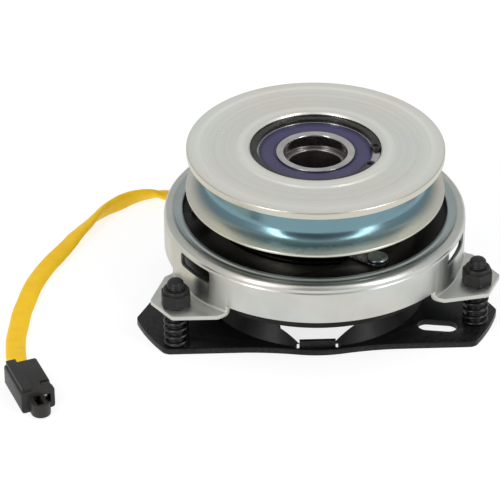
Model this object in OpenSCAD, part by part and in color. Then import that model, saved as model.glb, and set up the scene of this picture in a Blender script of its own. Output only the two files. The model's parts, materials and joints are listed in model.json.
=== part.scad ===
// Electromagnetic clutch with brake, for a vertical engine shaft. Millimetres, +Z up.
// The Z axis is the shaft axis, and z = 0 is the lower end face of the rotor hub.

/* [Shaft bore] */
// diameter of the crankshaft bore
bore_d = 25.4; // [20:0.1:30]
// width of the key slot in the bore
key_w = 6.35; // [4:0.05:10]
// depth of the key slot beyond the bore wall
key_depth = 3.2; // [1:0.1:5]

/* [Mounting plate] */
// sheet thickness
plate_t = 3; // [2:0.1:5]
// radius of the ends of the ears
plate_r = 90; // [85:0.5:100]
// distance from the axis to the straight front edge
front_edge = 52.7; // [50:0.1:70]
// radius of the flange around the dished centre
foot_flange_r = 56.5; // [55:0.5:60]
// height of the dished centre, top face above the hub end
dish_top = 15; // [10:0.5:18]
// length of the anti-rotation slot
slot_len = 19; // [12:0.5:30]
// width of the anti-rotation slot
slot_w = 9; // [6:0.5:12]

/* [Brake] */
// radius of the circle that the three studs stand on
stud_circle_r = 82.4; // [78:0.1:90]
// stud diameter
stud_d = 8; // [6:0.1:10]
// outer radius of the brake ring wall
ring_r = 72; // [70:0.5:80]
// inner radius of the brake ring lip
lip_r = 63; // [60:0.5:68]
// sheet thickness of the brake ring
ring_t = 2; // [1.5:0.1:3]

/* [Pulley] */
// radius of the upper flange
pulley_r = 61; // [50:0.5:80]
// radius of the lower flange
lower_flange_r = 61.4; // [50:0.1:80]
// radius at the bottom of the belt groove
groove_r = 51.5; // [40:0.5:60]
// height of the pulley's top face
pulley_top = 80.2; // [70:0.1:90]
// half of the belt groove's included angle
groove_half_angle = 17; // [15:0.5:20]

/* [Coil lead] */
// width of the flat lead sleeve
sleeve_w = 9.5; // [6:0.5:12]
// thickness of the flat lead sleeve
sleeve_h = 4.6; // [3:0.1:6]

/* [Hidden] */
$fn = 72;
eps = 0.01;
STUD_AZIMUTHS = [-55, 65, 185];
RIVET_AZIMUTHS = [29, 149, 269];

// Heights along the axis
plate_z = -1;
plate_top = plate_z + plate_t;
tab_z = 22.7;
tab_top = tab_z + ring_t;
wall_z = 27.9;
lip_z = 45;
lip_top = lip_z + ring_t;
gauge_z = 39.5;
rotor_rim_z = 20.2;
disc_z = 34;
rotor_face = 38;
air_gap = 0.5;
armature_z = rotor_face + air_gap;
armature_t = 6.4;
armature_top = armature_z + armature_t;
leaf_t = 1;
pulley_z = armature_top + leaf_t;
lower_flange_z = 56.6;
lower_rim_top = 57.9;
upper_rim_z = 76.7;
stud_top = 37.1;

// Pulley bearing 30 x 62 x 16, and field bearing 35 x 62 x 14:
// [inner radius, outer radius, inner land, outer land, width, ball radius, pitch radius, balls, z]
PULLEY_BEARING = [15, 31, 18.6, 26.9, 16, 4.7, 22.8, 9, 61];
FIELD_BEARING = [17.5, 31, 21.2, 27.2, 14, 3.9, 24.2, 10, 17];
ball_gap = 0.08;
hub_top = 70.4;
hub_shoulder_r = 20;

// Bend between the brake ring's wall and its tabs
tab_bend_r = 1.2;

// Dished centre of the plate
dish_foot_r = 54;
dish_shoulder_r = 48;
dish_hole_r = 30;
dish_wall = 2.2;

// Rounding of the plate's outline, and its rear ear
blend_r = 150;
corner_r = 5;
ear_top_r = 4;
EAR_TOP = [81.9, -26.2];
rear_ear_w = 28;

// Field shell and coil
shell_top = 33.2;
shell_floor = 18.5;
shell_r = 59;
shell_bore_r = 31;
coil_in_r = 36.5;
coil_out_r = 54.5;

// Leaf springs run from an armature rivet inwards to a pulley rivet
rivet_r = 54;
leaf_run = [-8.8, 20.2];
leaf_end_r = 5;

// Lead and plug
LEAD_AZIMUTH = -141;
lead_exit_z = 7.5;
grommet_w = 13;
grommet_h = 7.5;
wire_r = 42;
wire_gap = 1.4;
PLUG_AT = [-135.6, -82.6];
plug_turn = -70;
plug_len = 25;
plug_w = 16;
plug_h = 11;

// Route of the flat lead sleeve: x, y, z and the roll of its flat side in degrees
SLEEVE_ROUTE = [
    [-35, 43, 7.5, 0], [-38, 47, 7, 0], [-42, 52, 5.9, 0], [-46, 58, 4.4, 0],
    [-50, 65, 2.8, 0], [-54, 72, 1.7, 0], [-59, 79, 1.5, 0], [-65, 84, 1.7, 5],
    [-72, 86, 2.3, 20], [-79, 85, 3.3, 50], [-86, 82, 3.7, 70], [-93, 77, 3.9, 85],
    [-100, 71, 3.8, 75], [-106, 64, 3.4, 55], [-111, 56, 2.8, 35], [-116, 48, 2.3, 20],
    [-120, 40, 1.8, 10], [-125, 31, 1.4, 0], [-130, 21, 1.4, 0], [-134, 11, 1.4, 0],
    [-137, 1, 1.4, 0], [-139, -9, 1.4, 0], [-141, -19, 1.4, 0], [-142, -29, 1.4, 0],
    [-143, -39, 1.6, 0], [-143, -48, 2.2, 0], [-142.6, -56, 3, 0], [-141.6, -64, 3.8, 0],
    [-139.9, -70.9, 4.2, 0]
];

BLACK = [0.07, 0.07, 0.075];
ZINC = [0.74, 0.73, 0.69];
STEEL = [0.62, 0.62, 0.63];
PURPLE = [0.22, 0.1, 0.24];
COPPER = [0.72, 0.4, 0.2];
YELLOW = [0.93, 0.78, 0.12];

// ---- Shared shapes ----

// Places its children on a circle of radius r, at an azimuth from -Y
module at_azimuth(a, r) {
    rotate([0, 0, a]) translate([0, -r, 0]) children();
}

// A ring about the Z axis
module ring(r_in, r_out, z, h) {
    translate([0, 0, z]) linear_extrude(h) difference() {
        circle(r = r_out);
        circle(r = r_in);
    }
}

// A slot outline with round ends, along X
module slot_outline(len, w) {
    half = (len - w) / 2;
    square([2 * half, w], center = true);
    translate([-half, 0]) circle(d = w);
    translate([half, 0]) circle(d = w);
}

// Points along an arc about the point c, from angle a0 to a1 in n steps
function arc(c, r, a0, a1, n) =
    [for (i = [0:n]) c + r * [cos(a0 + (a1 - a0) * i / n), sin(a0 + (a1 - a0) * i / n)]];

// A rectangle with round corners
module round_rect(w, h, r) {
    square([w - 2 * r, h], center = true);
    square([w, h - 2 * r], center = true);
    for (sx = [-1, 1], sy = [-1, 1])
        translate([sx * (w / 2 - r), sy * (h / 2 - r)]) circle(r = r);
}

// Curved slots spread round the axis
module arc_slots(r, w, z, h, count, angle, start = 0) {
    for (i = [0:count - 1])
        rotate([0, 0, start + i * 360 / count]) rotate_extrude(angle = angle)
            translate([r, z]) square([w, h]);
}

// Bearing races, seals, balls and cage, from one bearing's list of sizes
module race_inner(b) {
    rotate_extrude() difference() {
        translate([b[0], b[8]]) square([b[2] - b[0], b[4]]);
        translate([b[6], b[8] + b[4] / 2]) circle(r = b[5] + ball_gap);
    }
}

module race_outer(b) {
    rotate_extrude() difference() {
        translate([b[3], b[8]]) square([b[1] - b[3], b[4]]);
        translate([b[6], b[8] + b[4] / 2]) circle(r = b[5] + ball_gap);
    }
}

module race_seals(b) {
    for (z = [b[8] + 0.5, b[8] + b[4] - 1.3])
        ring(b[2] + 0.15, b[3], z, 0.8);
}

module race_balls(b) {
    for (i = [0:b[7] - 1])
        rotate([0, 0, i * 360 / b[7]]) translate([b[6], 0, b[8] + b[4] / 2])
            sphere(r = b[5]);
}

module race_cage(b) {
    h = 2 * b[5] + 2;
    difference() {
        ring(b[6] - 1.2, b[6] + 1.2, b[8] + (b[4] - h) / 2, h);
        for (i = [0:b[7] - 1])
            rotate([0, 0, i * 360 / b[7]]) translate([b[6], 0, b[8] + b[4] / 2])
                rotate([0, 90, 0]) cylinder(r = b[5] + ball_gap, h = 6, center = true);
    }
}

// ---- Field: the part that stays still ----

// The right ear from the flange to its far end and back, counter-clockwise
function right_ear() =
    let(
        r = foot_flange_r,
        blend_x = sqrt(pow(r + blend_r, 2) - pow(front_edge + blend_r, 2)),
        blend_a = atan2(front_edge + blend_r, blend_x),
        low_x = sqrt(pow(plate_r - corner_r, 2) - pow(front_edge - corner_r, 2)),
        low_a = atan2(corner_r - front_edge, low_x),
        high_a = atan2(EAR_TOP[1], EAR_TOP[0])
    )
    concat(
        arc([blend_x, -front_edge - blend_r], blend_r, 180 - blend_a, 90, 8),
        arc([low_x, corner_r - front_edge], corner_r, -90, low_a, 4),
        arc([0, 0], plate_r, low_a, high_a, 6),
        arc(EAR_TOP, ear_top_r, high_a, 26.5, 4),
        [[72.5, 1.6], [52.1, 22]]
    );

// The rear ear, pointing along its own X axis
function rear_ear() =
    let(
        u = sqrt(pow(plate_r - corner_r, 2) - pow(rear_ear_w / 2 - corner_r, 2)),
        v = rear_ear_w / 2 - corner_r,
        a = atan2(v, u)
    )
    concat(
        arc([u, -v], corner_r, -90, -a, 4),
        arc([0, 0], plate_r, -a, a, 4),
        arc([u, v], corner_r, a, 90, 4)
    );

module plate_outline() {
    ear = right_ear();
    left = [for (i = [len(ear) - 1:-1:0]) [-ear[i][0], ear[i][1]]];
    rear_a = STUD_AZIMUTHS[2] - 90;
    rear_half = asin(rear_ear_w / 2 / foot_flange_r);
    rear = [
        for (q = rear_ear())
            [q[0] * cos(rear_a) - q[1] * sin(rear_a), q[0] * sin(rear_a) + q[1] * cos(rear_a)]
    ];
    polygon(concat(
        arc([0, 0], foot_flange_r, 261, 279, 6),
        ear,
        arc([0, 0], foot_flange_r, 25, rear_a - rear_half, 18),
        rear,
        arc([0, 0], foot_flange_r, rear_a + rear_half, 155, 14),
        left
    ));
}

// The opening behind the front lip, through the dish's slope and the foot under it
module front_window() {
    translate([-1.5, 0, plate_z - 1]) linear_extrude(13.5)
        polygon([[-8.3, -52.6], [8.3, -52.6], [18.6, -47.2], [21.5, -38], [-20, -38],
            [-17, -47.4]]);
}

module front_lip() {
    translate([-10, -front_edge - 1.2, plate_z]) cube([17, 1.6, plate_t + 3.6]);
}

// A flat oblong block pointing outwards at the lead's azimuth, between two radii
module lead_block(r0, r1, w, h) {
    at_azimuth(LEAD_AZIMUTH, r0) translate([0, 0, lead_exit_z]) rotate([90, 0, 0])
        linear_extrude(r1 - r0) slot_outline(w, h);
}

// The hole that the lead's two wires climb through
module wire_hole(z, h) {
    at_azimuth(LEAD_AZIMUTH, wire_r) translate([0, 0, z]) cylinder(r = 2.6, h = h);
}

module field_plate() {
    color(BLACK) {
        difference() {
            union() {
                translate([0, 0, plate_z]) linear_extrude(plate_t) difference() {
                    plate_outline();
                    circle(r = dish_foot_r - 1);
                }
                rotate_extrude() polygon([
                    [dish_foot_r - dish_wall, plate_z], [dish_foot_r + 0.6, plate_z],
                    [dish_foot_r + 0.6, plate_top], [dish_foot_r, plate_top],
                    [dish_shoulder_r, dish_top], [dish_hole_r, dish_top],
                    [dish_hole_r, dish_top - plate_t],
                    [dish_shoulder_r - dish_wall, dish_top - plate_t]
                ]);
            }
            front_window();
            for (x = [-11, 8])
                translate([x, -front_edge - 0.4, plate_z - 1]) cylinder(r = 1.3, h = plate_t + 2);
            for (a = STUD_AZIMUTHS)
                at_azimuth(a, stud_circle_r) translate([0, 0, plate_z - 1])
                    cylinder(d = stud_d, h = plate_t + 2);
            translate([56.5, -38.3, plate_z - 1]) rotate([0, 0, -9.5])
                linear_extrude(plate_t + 2) slot_outline(slot_len, slot_w);
            lead_block(43, 56, grommet_w, grommet_h);
            wire_hole(dish_top - plate_t - 1, plate_t + 2);
        }
        front_lip();
    }
}

module field_shell() {
    color(STEEL) difference() {
        rotate_extrude() polygon([
            [dish_hole_r, dish_top], [shell_r - 3, dish_top], [shell_r, dish_top + 3],
            [shell_r, shell_top], [coil_out_r, shell_top], [coil_out_r, shell_floor],
            [coil_in_r, shell_floor], [coil_in_r, shell_top], [shell_bore_r, shell_top],
            [shell_bore_r, FIELD_BEARING[8]], [dish_hole_r, FIELD_BEARING[8]]
        ]);
        wire_hole(dish_top - 1, 6);
    }
}

module coil_bobbin() {
    color([0.12, 0.12, 0.12]) difference() {
        rotate_extrude() polygon([
            [coil_in_r, shell_floor], [coil_out_r, shell_floor], [coil_out_r, shell_floor + 1],
            [coil_in_r + 1, shell_floor + 1], [coil_in_r + 1, 30.5], [coil_out_r, 30.5],
            [coil_out_r, 31.5], [coil_in_r, 31.5]
        ]);
        wire_hole(dish_top - 1, 6);
    }
}

module coil_winding() {
    color(COPPER) ring(coil_in_r + 1, coil_out_r - 0.5, shell_floor + 1, 11);
}

module coil_potting() {
    color([0.16, 0.15, 0.14]) ring(coil_in_r, coil_out_r, 31.5, 1.4);
}

module studs() {
    color(BLACK) for (a = STUD_AZIMUTHS) at_azimuth(a, stud_circle_r) {
        translate([0, 0, plate_z]) cylinder(d = stud_d, h = stud_top - 0.8 - plate_z);
        translate([0, 0, stud_top - 0.8]) cylinder(d1 = stud_d, d2 = stud_d - 1.6, h = 0.8);
    }
}

// A round wire coiled round Z, closed at both ends, as one closed solid
module coil_spring(mean_r, wire_r, z0, z1, turns) {
    steps = 18 * turns;
    sides = 8;
    low = z0 + wire_r;
    rise = z1 - z0 - 2 * wire_r;
    points = [
        for (i = [0:steps], k = [0:sides - 1])
            let(
                t = i / steps,
                eased = t < 0.12 ? t * 0.35 : t > 0.88 ? 1 - (1 - t) * 0.35 :
                    0.042 + (t - 0.12) * 0.916 / 0.76,
                a = i * 20,
                c = mean_r + wire_r * cos(k * 360 / sides)
            )
            [c * cos(a), c * sin(a), low + rise * eased + wire_r * sin(k * 360 / sides)]
    ];
    walls = [
        for (i = [0:steps - 1], k = [0:sides - 1])
            let(n = (k + 1) % sides, p = i * sides, q = p + sides)
            [p + k, q + k, q + n, p + n]
    ];
    first = [for (k = [0:sides - 1]) k];
    last = [for (k = [sides - 1:-1:0]) steps * sides + k];
    polyhedron(points, concat(walls, [first, last]), convexity = 10);
}

module brake_springs() {
    color(BLACK) for (a = STUD_AZIMUTHS) at_azimuth(a, stud_circle_r)
        coil_spring(5.3, 0.8, plate_top, tab_z, 6);
}

module lead_grommet() {
    color([0.1, 0.1, 0.1]) difference() {
        union() {
            lead_block(46.9, 55.4, grommet_w, grommet_h);
            lead_block(54, 55.4, grommet_w + 2.5, grommet_h + 2.5);
        }
        at_azimuth(LEAD_AZIMUTH, 45) translate([0, 0, lead_exit_z]) rotate([90, 0, 0])
            for (x = [-wire_gap, wire_gap]) translate([x, 0, 0]) cylinder(r = 1.1, h = 4);
    }
}

module coil_leads() {
    color([0.15, 0.15, 0.15]) at_azimuth(LEAD_AZIMUTH, wire_r) translate([0, 0, lead_exit_z])
        for (x = [-wire_gap, wire_gap]) translate([x, 0, 0]) {
            cylinder(r = 1, h = shell_floor - lead_exit_z + 1);
            sphere(r = 1);
            rotate([90, 0, 0]) cylinder(r = 1, h = 6.6);
        }
}

// ---- Lead sleeve and plug ----

function unit(v) = v / norm(v);
function spot(i) = [SLEEVE_ROUTE[i][0], SLEEVE_ROUTE[i][1], SLEEVE_ROUTE[i][2]];
function along(i) = unit(spot(min(i + 1, len(SLEEVE_ROUTE) - 1)) - spot(max(i - 1, 0)));
function flat_ring(i) =
    let(
        t = along(i),
        side = unit(cross([0, 0, 1], t)),
        up = cross(t, side),
        roll = SLEEVE_ROUTE[i][3],
        wide = side * cos(roll) + up * sin(roll),
        thin = up * cos(roll) - side * sin(roll),
        flat = sleeve_w / 2 - sleeve_h / 2,
        r = sleeve_h / 2
    )
    [
        for (a = [-90:45:90]) spot(i) + wide * (flat + r * cos(a)) + thin * r * sin(a),
        for (a = [90:45:270]) spot(i) + wide * (-flat + r * cos(a)) + thin * r * sin(a)
    ];

module lead_sleeve() {
    last = len(SLEEVE_ROUTE) - 1;
    sides = 10;
    points = [for (i = [0:last]) each flat_ring(i)];
    walls = [
        for (i = [0:last - 1], k = [0:sides - 1])
            let(n = (k + 1) % sides, p = i * sides, q = p + sides)
            each [[p + k, p + n, q + n], [p + k, q + n, q + k]]
    ];
    ends = [
        [for (k = [sides - 1:-1:0]) k],
        [for (k = [0:sides - 1]) last * sides + k]
    ];
    color(YELLOW) polyhedron(points, concat(walls, ends), convexity = 10);
}

// Places its children in the plug's own frame: X towards the mating end, z = 0 on the floor
module in_plug() {
    translate([PLUG_AT[0], PLUG_AT[1], plate_z]) rotate([0, 0, plug_turn]) children();
}

module plug_housing() {
    color(BLACK) in_plug() difference() {
        union() {
            translate([0, 0, plug_h / 2]) rotate([90, 0, 90])
                translate([0, 0, -plug_len / 2]) linear_extrude(plug_len)
                    round_rect(plug_w, plug_h, 1.5);
            translate([-plug_len / 2, -plug_w / 2 + 1, 4]) cube([plug_len - 1.5, 4.6, 9]);
            translate([plug_len / 2 - eps, -4.5, 0.8]) cube([3.4, 9, 6.5]);
            translate([plug_len / 2 + 3.3, 0, 0.8]) linear_extrude(6.5)
                intersection() {
                    circle(r = 4.5);
                    translate([0, -5]) square([5, 10]);
                }
        }
        for (y = [-0.6, 4.4])
            translate([plug_len / 2 - 14, y - 1.6, 3.2]) cube([20, 3.2, 4.6]);
        translate([plug_len / 2 - 7, 3, 9]) cube([4, 6, 3]);
    }
}

module plug_lock() {
    color([0.1, 0.1, 0.11]) in_plug() {
        translate([plug_len / 2 - 6.6, 3.4, 9]) cube([3.2, 4, 1.4]);
    }
}

module plug_terminals() {
    color(STEEL) in_plug() for (y = [-0.6, 4.4])
        translate([plug_len / 2 - 13.5, y - 1.2, 4]) cube([11, 2.4, 3]);
}

// ---- Rotor: turns with the crankshaft ----

module rotor_hub() {
    color(STEEL) difference() {
        rotate_extrude() polygon([
            [0, 0], [FIELD_BEARING[0] - 0.6, 0], [FIELD_BEARING[0], 0.6],
            [FIELD_BEARING[0], 31], [hub_shoulder_r, 31], [hub_shoulder_r, PULLEY_BEARING[8]],
            [PULLEY_BEARING[0], PULLEY_BEARING[8]], [PULLEY_BEARING[0], hub_top], [0, hub_top]
        ]);
        translate([0, 0, -1]) cylinder(d = bore_d, h = hub_top + 2);
        translate([0, 0, hub_top - 0.5])
            cylinder(d1 = bore_d - eps, d2 = bore_d + 1.02, h = 0.51);
        translate([-key_w / 2, -bore_d / 2 - key_depth, -1])
            cube([key_w, bore_d / 2 + key_depth, hub_top + 2]);
    }
}

module rotor_disc() {
    color(STEEL) difference() {
        rotate_extrude() polygon([
            [hub_shoulder_r, disc_z], [60, disc_z], [60, rotor_rim_z], [65, rotor_rim_z],
            [65, rotor_face], [51.5, rotor_face], [51.5, 36.5], [45.5, 36.5],
            [45.5, rotor_face], [hub_shoulder_r, rotor_face]
        ]);
        arc_slots(41, 2.6, disc_z - 1, 6, 4, 74);
        arc_slots(54.5, 2.6, disc_z - 1, 6, 6, 46, 10);
    }
}

module rotor_lining() {
    color([0.25, 0.2, 0.16]) ring(45.5, 51.5, 36.5, 1.5);
}

// ---- Pulley ----

module pulley_profile() {
    slope = tan(groove_half_angle);
    up_floor = upper_rim_z - (pulley_r - groove_r) * slope;
    low_floor = lower_rim_top + (lower_flange_r - groove_r) * slope;
    polygon([
        [28, pulley_z], [46, pulley_z], [46, lower_flange_z - 1.5], [47.5, lower_flange_z],
        [lower_flange_r, lower_flange_z], [lower_flange_r, lower_rim_top],
        [groove_r + 2, low_floor - 2 * slope], [groove_r + 0.5, low_floor + 0.3],
        [groove_r, low_floor + 1.8], [groove_r, up_floor - 1.8],
        [groove_r + 0.5, up_floor - 0.3], [groove_r + 2, up_floor + 2 * slope],
        [pulley_r, upper_rim_z], [pulley_r, pulley_top - 1],
        [pulley_r - 1, pulley_top], [56, pulley_top], [55, pulley_top - 0.5],
        [49.4, pulley_top - 0.5], [48.4, pulley_top - 1], [38, pulley_top - 1],
        [37, pulley_top - 0.2], [31.8, pulley_top - 0.2], [PULLEY_BEARING[1], pulley_top - 1],
        [PULLEY_BEARING[1], 78.6], [32.7, 78.6], [32.7, 77], [PULLEY_BEARING[1], 77],
        [PULLEY_BEARING[1], PULLEY_BEARING[8]], [28, PULLEY_BEARING[8]]
    ]);
}

module pulley() {
    color(ZINC) difference() {
        rotate_extrude() pulley_profile();
        for (a = RIVET_AZIMUTHS) at_azimuth(a, rivet_r)
            translate([leaf_run[0], leaf_run[1], pulley_z - 1]) cylinder(r = 2.5, h = 8);
    }
}

module snap_ring() {
    color(BLACK) translate([0, 0, 77]) linear_extrude(1.5) {
        difference() {
            union() {
                difference() {
                    circle(r = 32.6);
                    circle(r = 27.6);
                    rotate([0, 0, -14.3]) polygon([[0, 0], [60, -15], [60, 15]]);
                }
                for (a = [-31.5, 2.9]) rotate([0, 0, a]) translate([28.8, 0]) circle(r = 2.9);
            }
            for (a = [-31.5, 2.9]) rotate([0, 0, a]) translate([28.6, 0]) circle(r = 1.3);
        }
    }
}

module pulley_rivets() {
    color(STEEL) for (a = RIVET_AZIMUTHS) at_azimuth(a, rivet_r)
        translate([leaf_run[0], leaf_run[1], 0]) {
            translate([0, 0, armature_top - 1.8]) cylinder(r = 4.3, h = 1.8);
            translate([0, 0, armature_top - eps]) cylinder(r = 2.5, h = leaf_t + 7);
        }
}

module leaf_springs() {
    run = norm(leaf_run);
    color(STEEL) for (a = RIVET_AZIMUTHS) at_azimuth(a, rivet_r)
        translate([0, 0, armature_top]) linear_extrude(leaf_t) difference() {
            union() {
                circle(r = leaf_end_r);
                translate(leaf_run) circle(r = leaf_end_r);
                rotate([0, 0, atan2(leaf_run[1], leaf_run[0])])
                    translate([0, -leaf_end_r]) square([run, 2 * leaf_end_r]);
            }
            circle(r = 2.5);
            translate(leaf_run) circle(r = 2.5);
        }
}

// ---- Armature ----

module armature_plate() {
    color(BLACK) difference() {
        ring(41, 66.5, armature_z, armature_t);
        for (a = RIVET_AZIMUTHS) at_azimuth(a, rivet_r)
            translate([0, 0, armature_z - 1]) cylinder(r = 2.5, h = armature_t + 2);
        arc_slots(47, 2.4, armature_z - 1, armature_t + 2, 3, 84, 317);
    }
}

module armature_rivets() {
    color(STEEL) for (a = RIVET_AZIMUTHS) at_azimuth(a, rivet_r) {
        translate([0, 0, armature_z + 0.6]) cylinder(r = 2.5, h = armature_t + leaf_t);
        translate([0, 0, pulley_z]) cylinder(r1 = 4.9, r2 = 4.4, h = 2);
    }
}

// ---- Brake ----

// Section of the brake ring, with the flange that its tabs are cut from
module brake_section() {
    inner = ring_r - ring_t;
    bend = [ring_r + tab_bend_r, tab_top + tab_bend_r];
    polygon(concat(
        [
            [lip_r, lip_z], [lip_r, lip_top], [64.2, lip_top], [65.5, lip_top - 0.4],
            [67, lip_top - 0.4], [68.6, lip_top - 0.1], [70.3, lip_top - 0.3],
            [71.4, lip_top - 1.2], [71.8, lip_top - 2.3], [71.6, lip_top - 2.9],
            [ring_r, lip_top - 3.8]
        ],
        arc(bend, tab_bend_r, 180, 270, 3),
        [[94, tab_top], [94, tab_z]],
        arc(bend, tab_bend_r + ring_t, 270, 180, 4),
        [[inner, lip_z - 1], [inner - 1, lip_z]]
    ));
}

module brake_plate() {
    color(ZINC) difference() {
        rotate_extrude() brake_section();
        translate([0, 0, tab_z - 1]) linear_extrude(wall_z - tab_z + 1) difference() {
            circle(r = 98);
            circle(r = ring_r - 5);
            for (a = STUD_AZIMUTHS) rotate([0, 0, a]) polygon([
                [-21, -60], [-21, -73.5], [-8.6, -91], [8.6, -91], [21, -73.5], [21, -60]
            ]);
        }
        for (a = STUD_AZIMUTHS) {
            at_azimuth(a, stud_circle_r) translate([0, 0, tab_z - 1])
                cylinder(d = stud_d + 0.6, h = ring_t + 2);
            at_azimuth(a, ring_r - 6) translate([0, 0, gauge_z]) rotate([90, 0, 0])
                linear_extrude(10) round_rect(22, 7, 2);
        }
    }
}

module lock_nut(a) {
    color(BLACK) at_azimuth(a, stud_circle_r) translate([0, 0, tab_top]) difference() {
        union() {
            intersection() {
                cylinder(r = 7.5, h = 6.4, $fn = 6);
                cylinder(r1 = 9.4, r2 = 6.9, h = 6.4);
            }
            cylinder(r = 6, h = 8.3);
        }
        translate([0, 0, -1]) cylinder(d = stud_d + 0.2, h = 12);
        translate([0, 0, 6.4]) cylinder(r = 5.1, h = 1.5);
    }
}

module nut_insert(a) {
    color([0.75, 0.75, 0.7]) at_azimuth(a, stud_circle_r)
        ring(stud_d / 2 + 0.1, 5.1, tab_top + 6.4, 1.5);
}

module lock_nut_left() {
    lock_nut(STUD_AZIMUTHS[0]);
}

module lock_nut_right() {
    lock_nut(STUD_AZIMUTHS[1]);
}

module lock_nut_rear() {
    lock_nut(STUD_AZIMUTHS[2]);
}

module nut_insert_left() {
    nut_insert(STUD_AZIMUTHS[0]);
}

module nut_insert_right() {
    nut_insert(STUD_AZIMUTHS[1]);
}

module nut_insert_rear() {
    nut_insert(STUD_AZIMUTHS[2]);
}

// ---- Bearings ----

module field_bearing_outer() {
    color(STEEL) race_outer(FIELD_BEARING);
}

module field_bearing_inner() {
    color(STEEL) race_inner(FIELD_BEARING);
}

module field_bearing_seals() {
    color(PURPLE) race_seals(FIELD_BEARING);
}

module field_bearing_balls() {
    color(STEEL) race_balls(FIELD_BEARING);
}

module field_bearing_cage() {
    color(STEEL) race_cage(FIELD_BEARING);
}

module pulley_bearing_outer() {
    color(STEEL) race_outer(PULLEY_BEARING);
}

module pulley_bearing_inner() {
    color(STEEL) race_inner(PULLEY_BEARING);
}

module pulley_bearing_seals() {
    color(PURPLE) race_seals(PULLEY_BEARING);
}

module pulley_bearing_balls() {
    color(STEEL) race_balls(PULLEY_BEARING);
}

module pulley_bearing_cage() {
    color(STEEL) race_cage(PULLEY_BEARING);
}

field_plate();
field_shell();
coil_bobbin();
coil_winding();
coil_potting();
field_bearing_outer();
field_bearing_seals();
field_bearing_inner();
field_bearing_balls();
field_bearing_cage();
studs();
brake_springs();
lead_grommet();
coil_leads();
lead_sleeve();
plug_housing();
plug_lock();
plug_terminals();
rotor_hub();
rotor_disc();
rotor_lining();
pulley();
pulley_bearing_outer();
pulley_bearing_seals();
pulley_bearing_inner();
pulley_bearing_balls();
pulley_bearing_cage();
snap_ring();
pulley_rivets();
leaf_springs();
armature_plate();
armature_rivets();
brake_plate();
lock_nut_left();
lock_nut_right();
lock_nut_rear();
nut_insert_left();
nut_insert_right();
nut_insert_rear();
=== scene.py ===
"""Looks of the electromagnetic clutch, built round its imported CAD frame."""

import json
import math

import bmesh
import bpy
from bpy.props import FloatProperty, FloatVectorProperty, IntProperty, PointerProperty
from mathutils import Matrix, Vector

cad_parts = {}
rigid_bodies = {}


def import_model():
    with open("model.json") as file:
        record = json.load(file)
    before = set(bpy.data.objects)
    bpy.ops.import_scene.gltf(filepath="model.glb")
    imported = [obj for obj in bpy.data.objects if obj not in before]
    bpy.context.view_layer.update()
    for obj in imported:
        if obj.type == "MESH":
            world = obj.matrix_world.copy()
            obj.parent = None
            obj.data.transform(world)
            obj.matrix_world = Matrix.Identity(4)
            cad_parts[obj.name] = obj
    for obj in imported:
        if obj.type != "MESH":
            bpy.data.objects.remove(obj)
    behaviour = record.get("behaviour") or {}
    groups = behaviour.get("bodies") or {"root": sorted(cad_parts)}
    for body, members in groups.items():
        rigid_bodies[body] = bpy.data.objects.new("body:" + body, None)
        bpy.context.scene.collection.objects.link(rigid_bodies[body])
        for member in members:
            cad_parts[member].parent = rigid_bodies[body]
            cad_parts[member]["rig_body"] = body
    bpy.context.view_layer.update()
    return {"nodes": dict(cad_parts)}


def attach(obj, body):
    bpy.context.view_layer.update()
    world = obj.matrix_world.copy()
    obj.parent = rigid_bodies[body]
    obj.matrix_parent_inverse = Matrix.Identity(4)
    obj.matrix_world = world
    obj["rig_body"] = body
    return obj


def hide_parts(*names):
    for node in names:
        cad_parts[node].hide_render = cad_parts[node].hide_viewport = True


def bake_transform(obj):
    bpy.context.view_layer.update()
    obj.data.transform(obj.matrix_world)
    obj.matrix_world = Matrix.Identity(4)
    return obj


bl_info = {
    "name": "Electromagnetic Clutch",
    "version": (1, 0, 0),
    "blender": (4, 5, 0),
    "location": "View3D > Sidebar > Clutch",
    "description": "Builds the clutch's detailed pieces and finishes on its CAD frame",
    "category": "Object",
}

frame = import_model()
NODES = frame["nodes"]

MM = 0.001
STUD_AZIMUTHS = (-55.0, 65.0, 185.0)
RIVET_AZIMUTHS = (29.0, 149.0, 269.0)
STUD_CIRCLE = 82.4
RIVET_CIRCLE = 54.0
LEAF_RUN = (-8.8, 20.2)
PLATE_TOP = 2.0
TAB_Z = 22.7
TAB_TOP = 24.7
STUD_TOP = 37.1
NUT_NAMES = ("left", "right", "rear")

PULLEY_BEARING = {"bore": 15, "outside": 31, "inner_land": 18.6, "outer_land": 26.9,
                  "width": 16, "ball": 4.7, "pitch": 22.8, "z": 61}
FIELD_BEARING = {"bore": 17.5, "outside": 31, "inner_land": 21.2, "outer_land": 27.2,
                 "width": 14, "ball": 3.9, "pitch": 24.2, "z": 17}

# Where the finishes and their painted shade change, in metres: from and to, by height or by
# distance from the axis
GROOVE_FOOT = (0.0572, 0.0586)
GROOVE_HEAD = (0.0760, 0.0772)
GROOVE_DEPTH = (0.0530, 0.0600)
GROOVE_BELOW = (0.0590, 0.0625)
PULLEY_OUTSIDE = (0.0603, 0.0609)
LIP_VALLEY = (0.0672, 0.0684)
LIP_HEIGHT = (0.0455, 0.0462)

# The stage, in metres; the floor in millimetres
CAMERA_LENS = 196.8
CAMERA_PLACE = (-0.0792, -1.1073, 0.7316)
CAMERA_HEADING = (0.0367, 0.8415, -0.5389)
STRIP_SIZE = (0.34, 1.9)
STRIP_POWER = 11.0
STRIP_AIM = (0, 0, 0.04)
FLOOR_REACH = 4000
FLOOR_Z = -1.05

SLEEVE_SIDES = 28
SPRING_RADIUS = 5.3
CLOSED_COIL = 0.12

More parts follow.
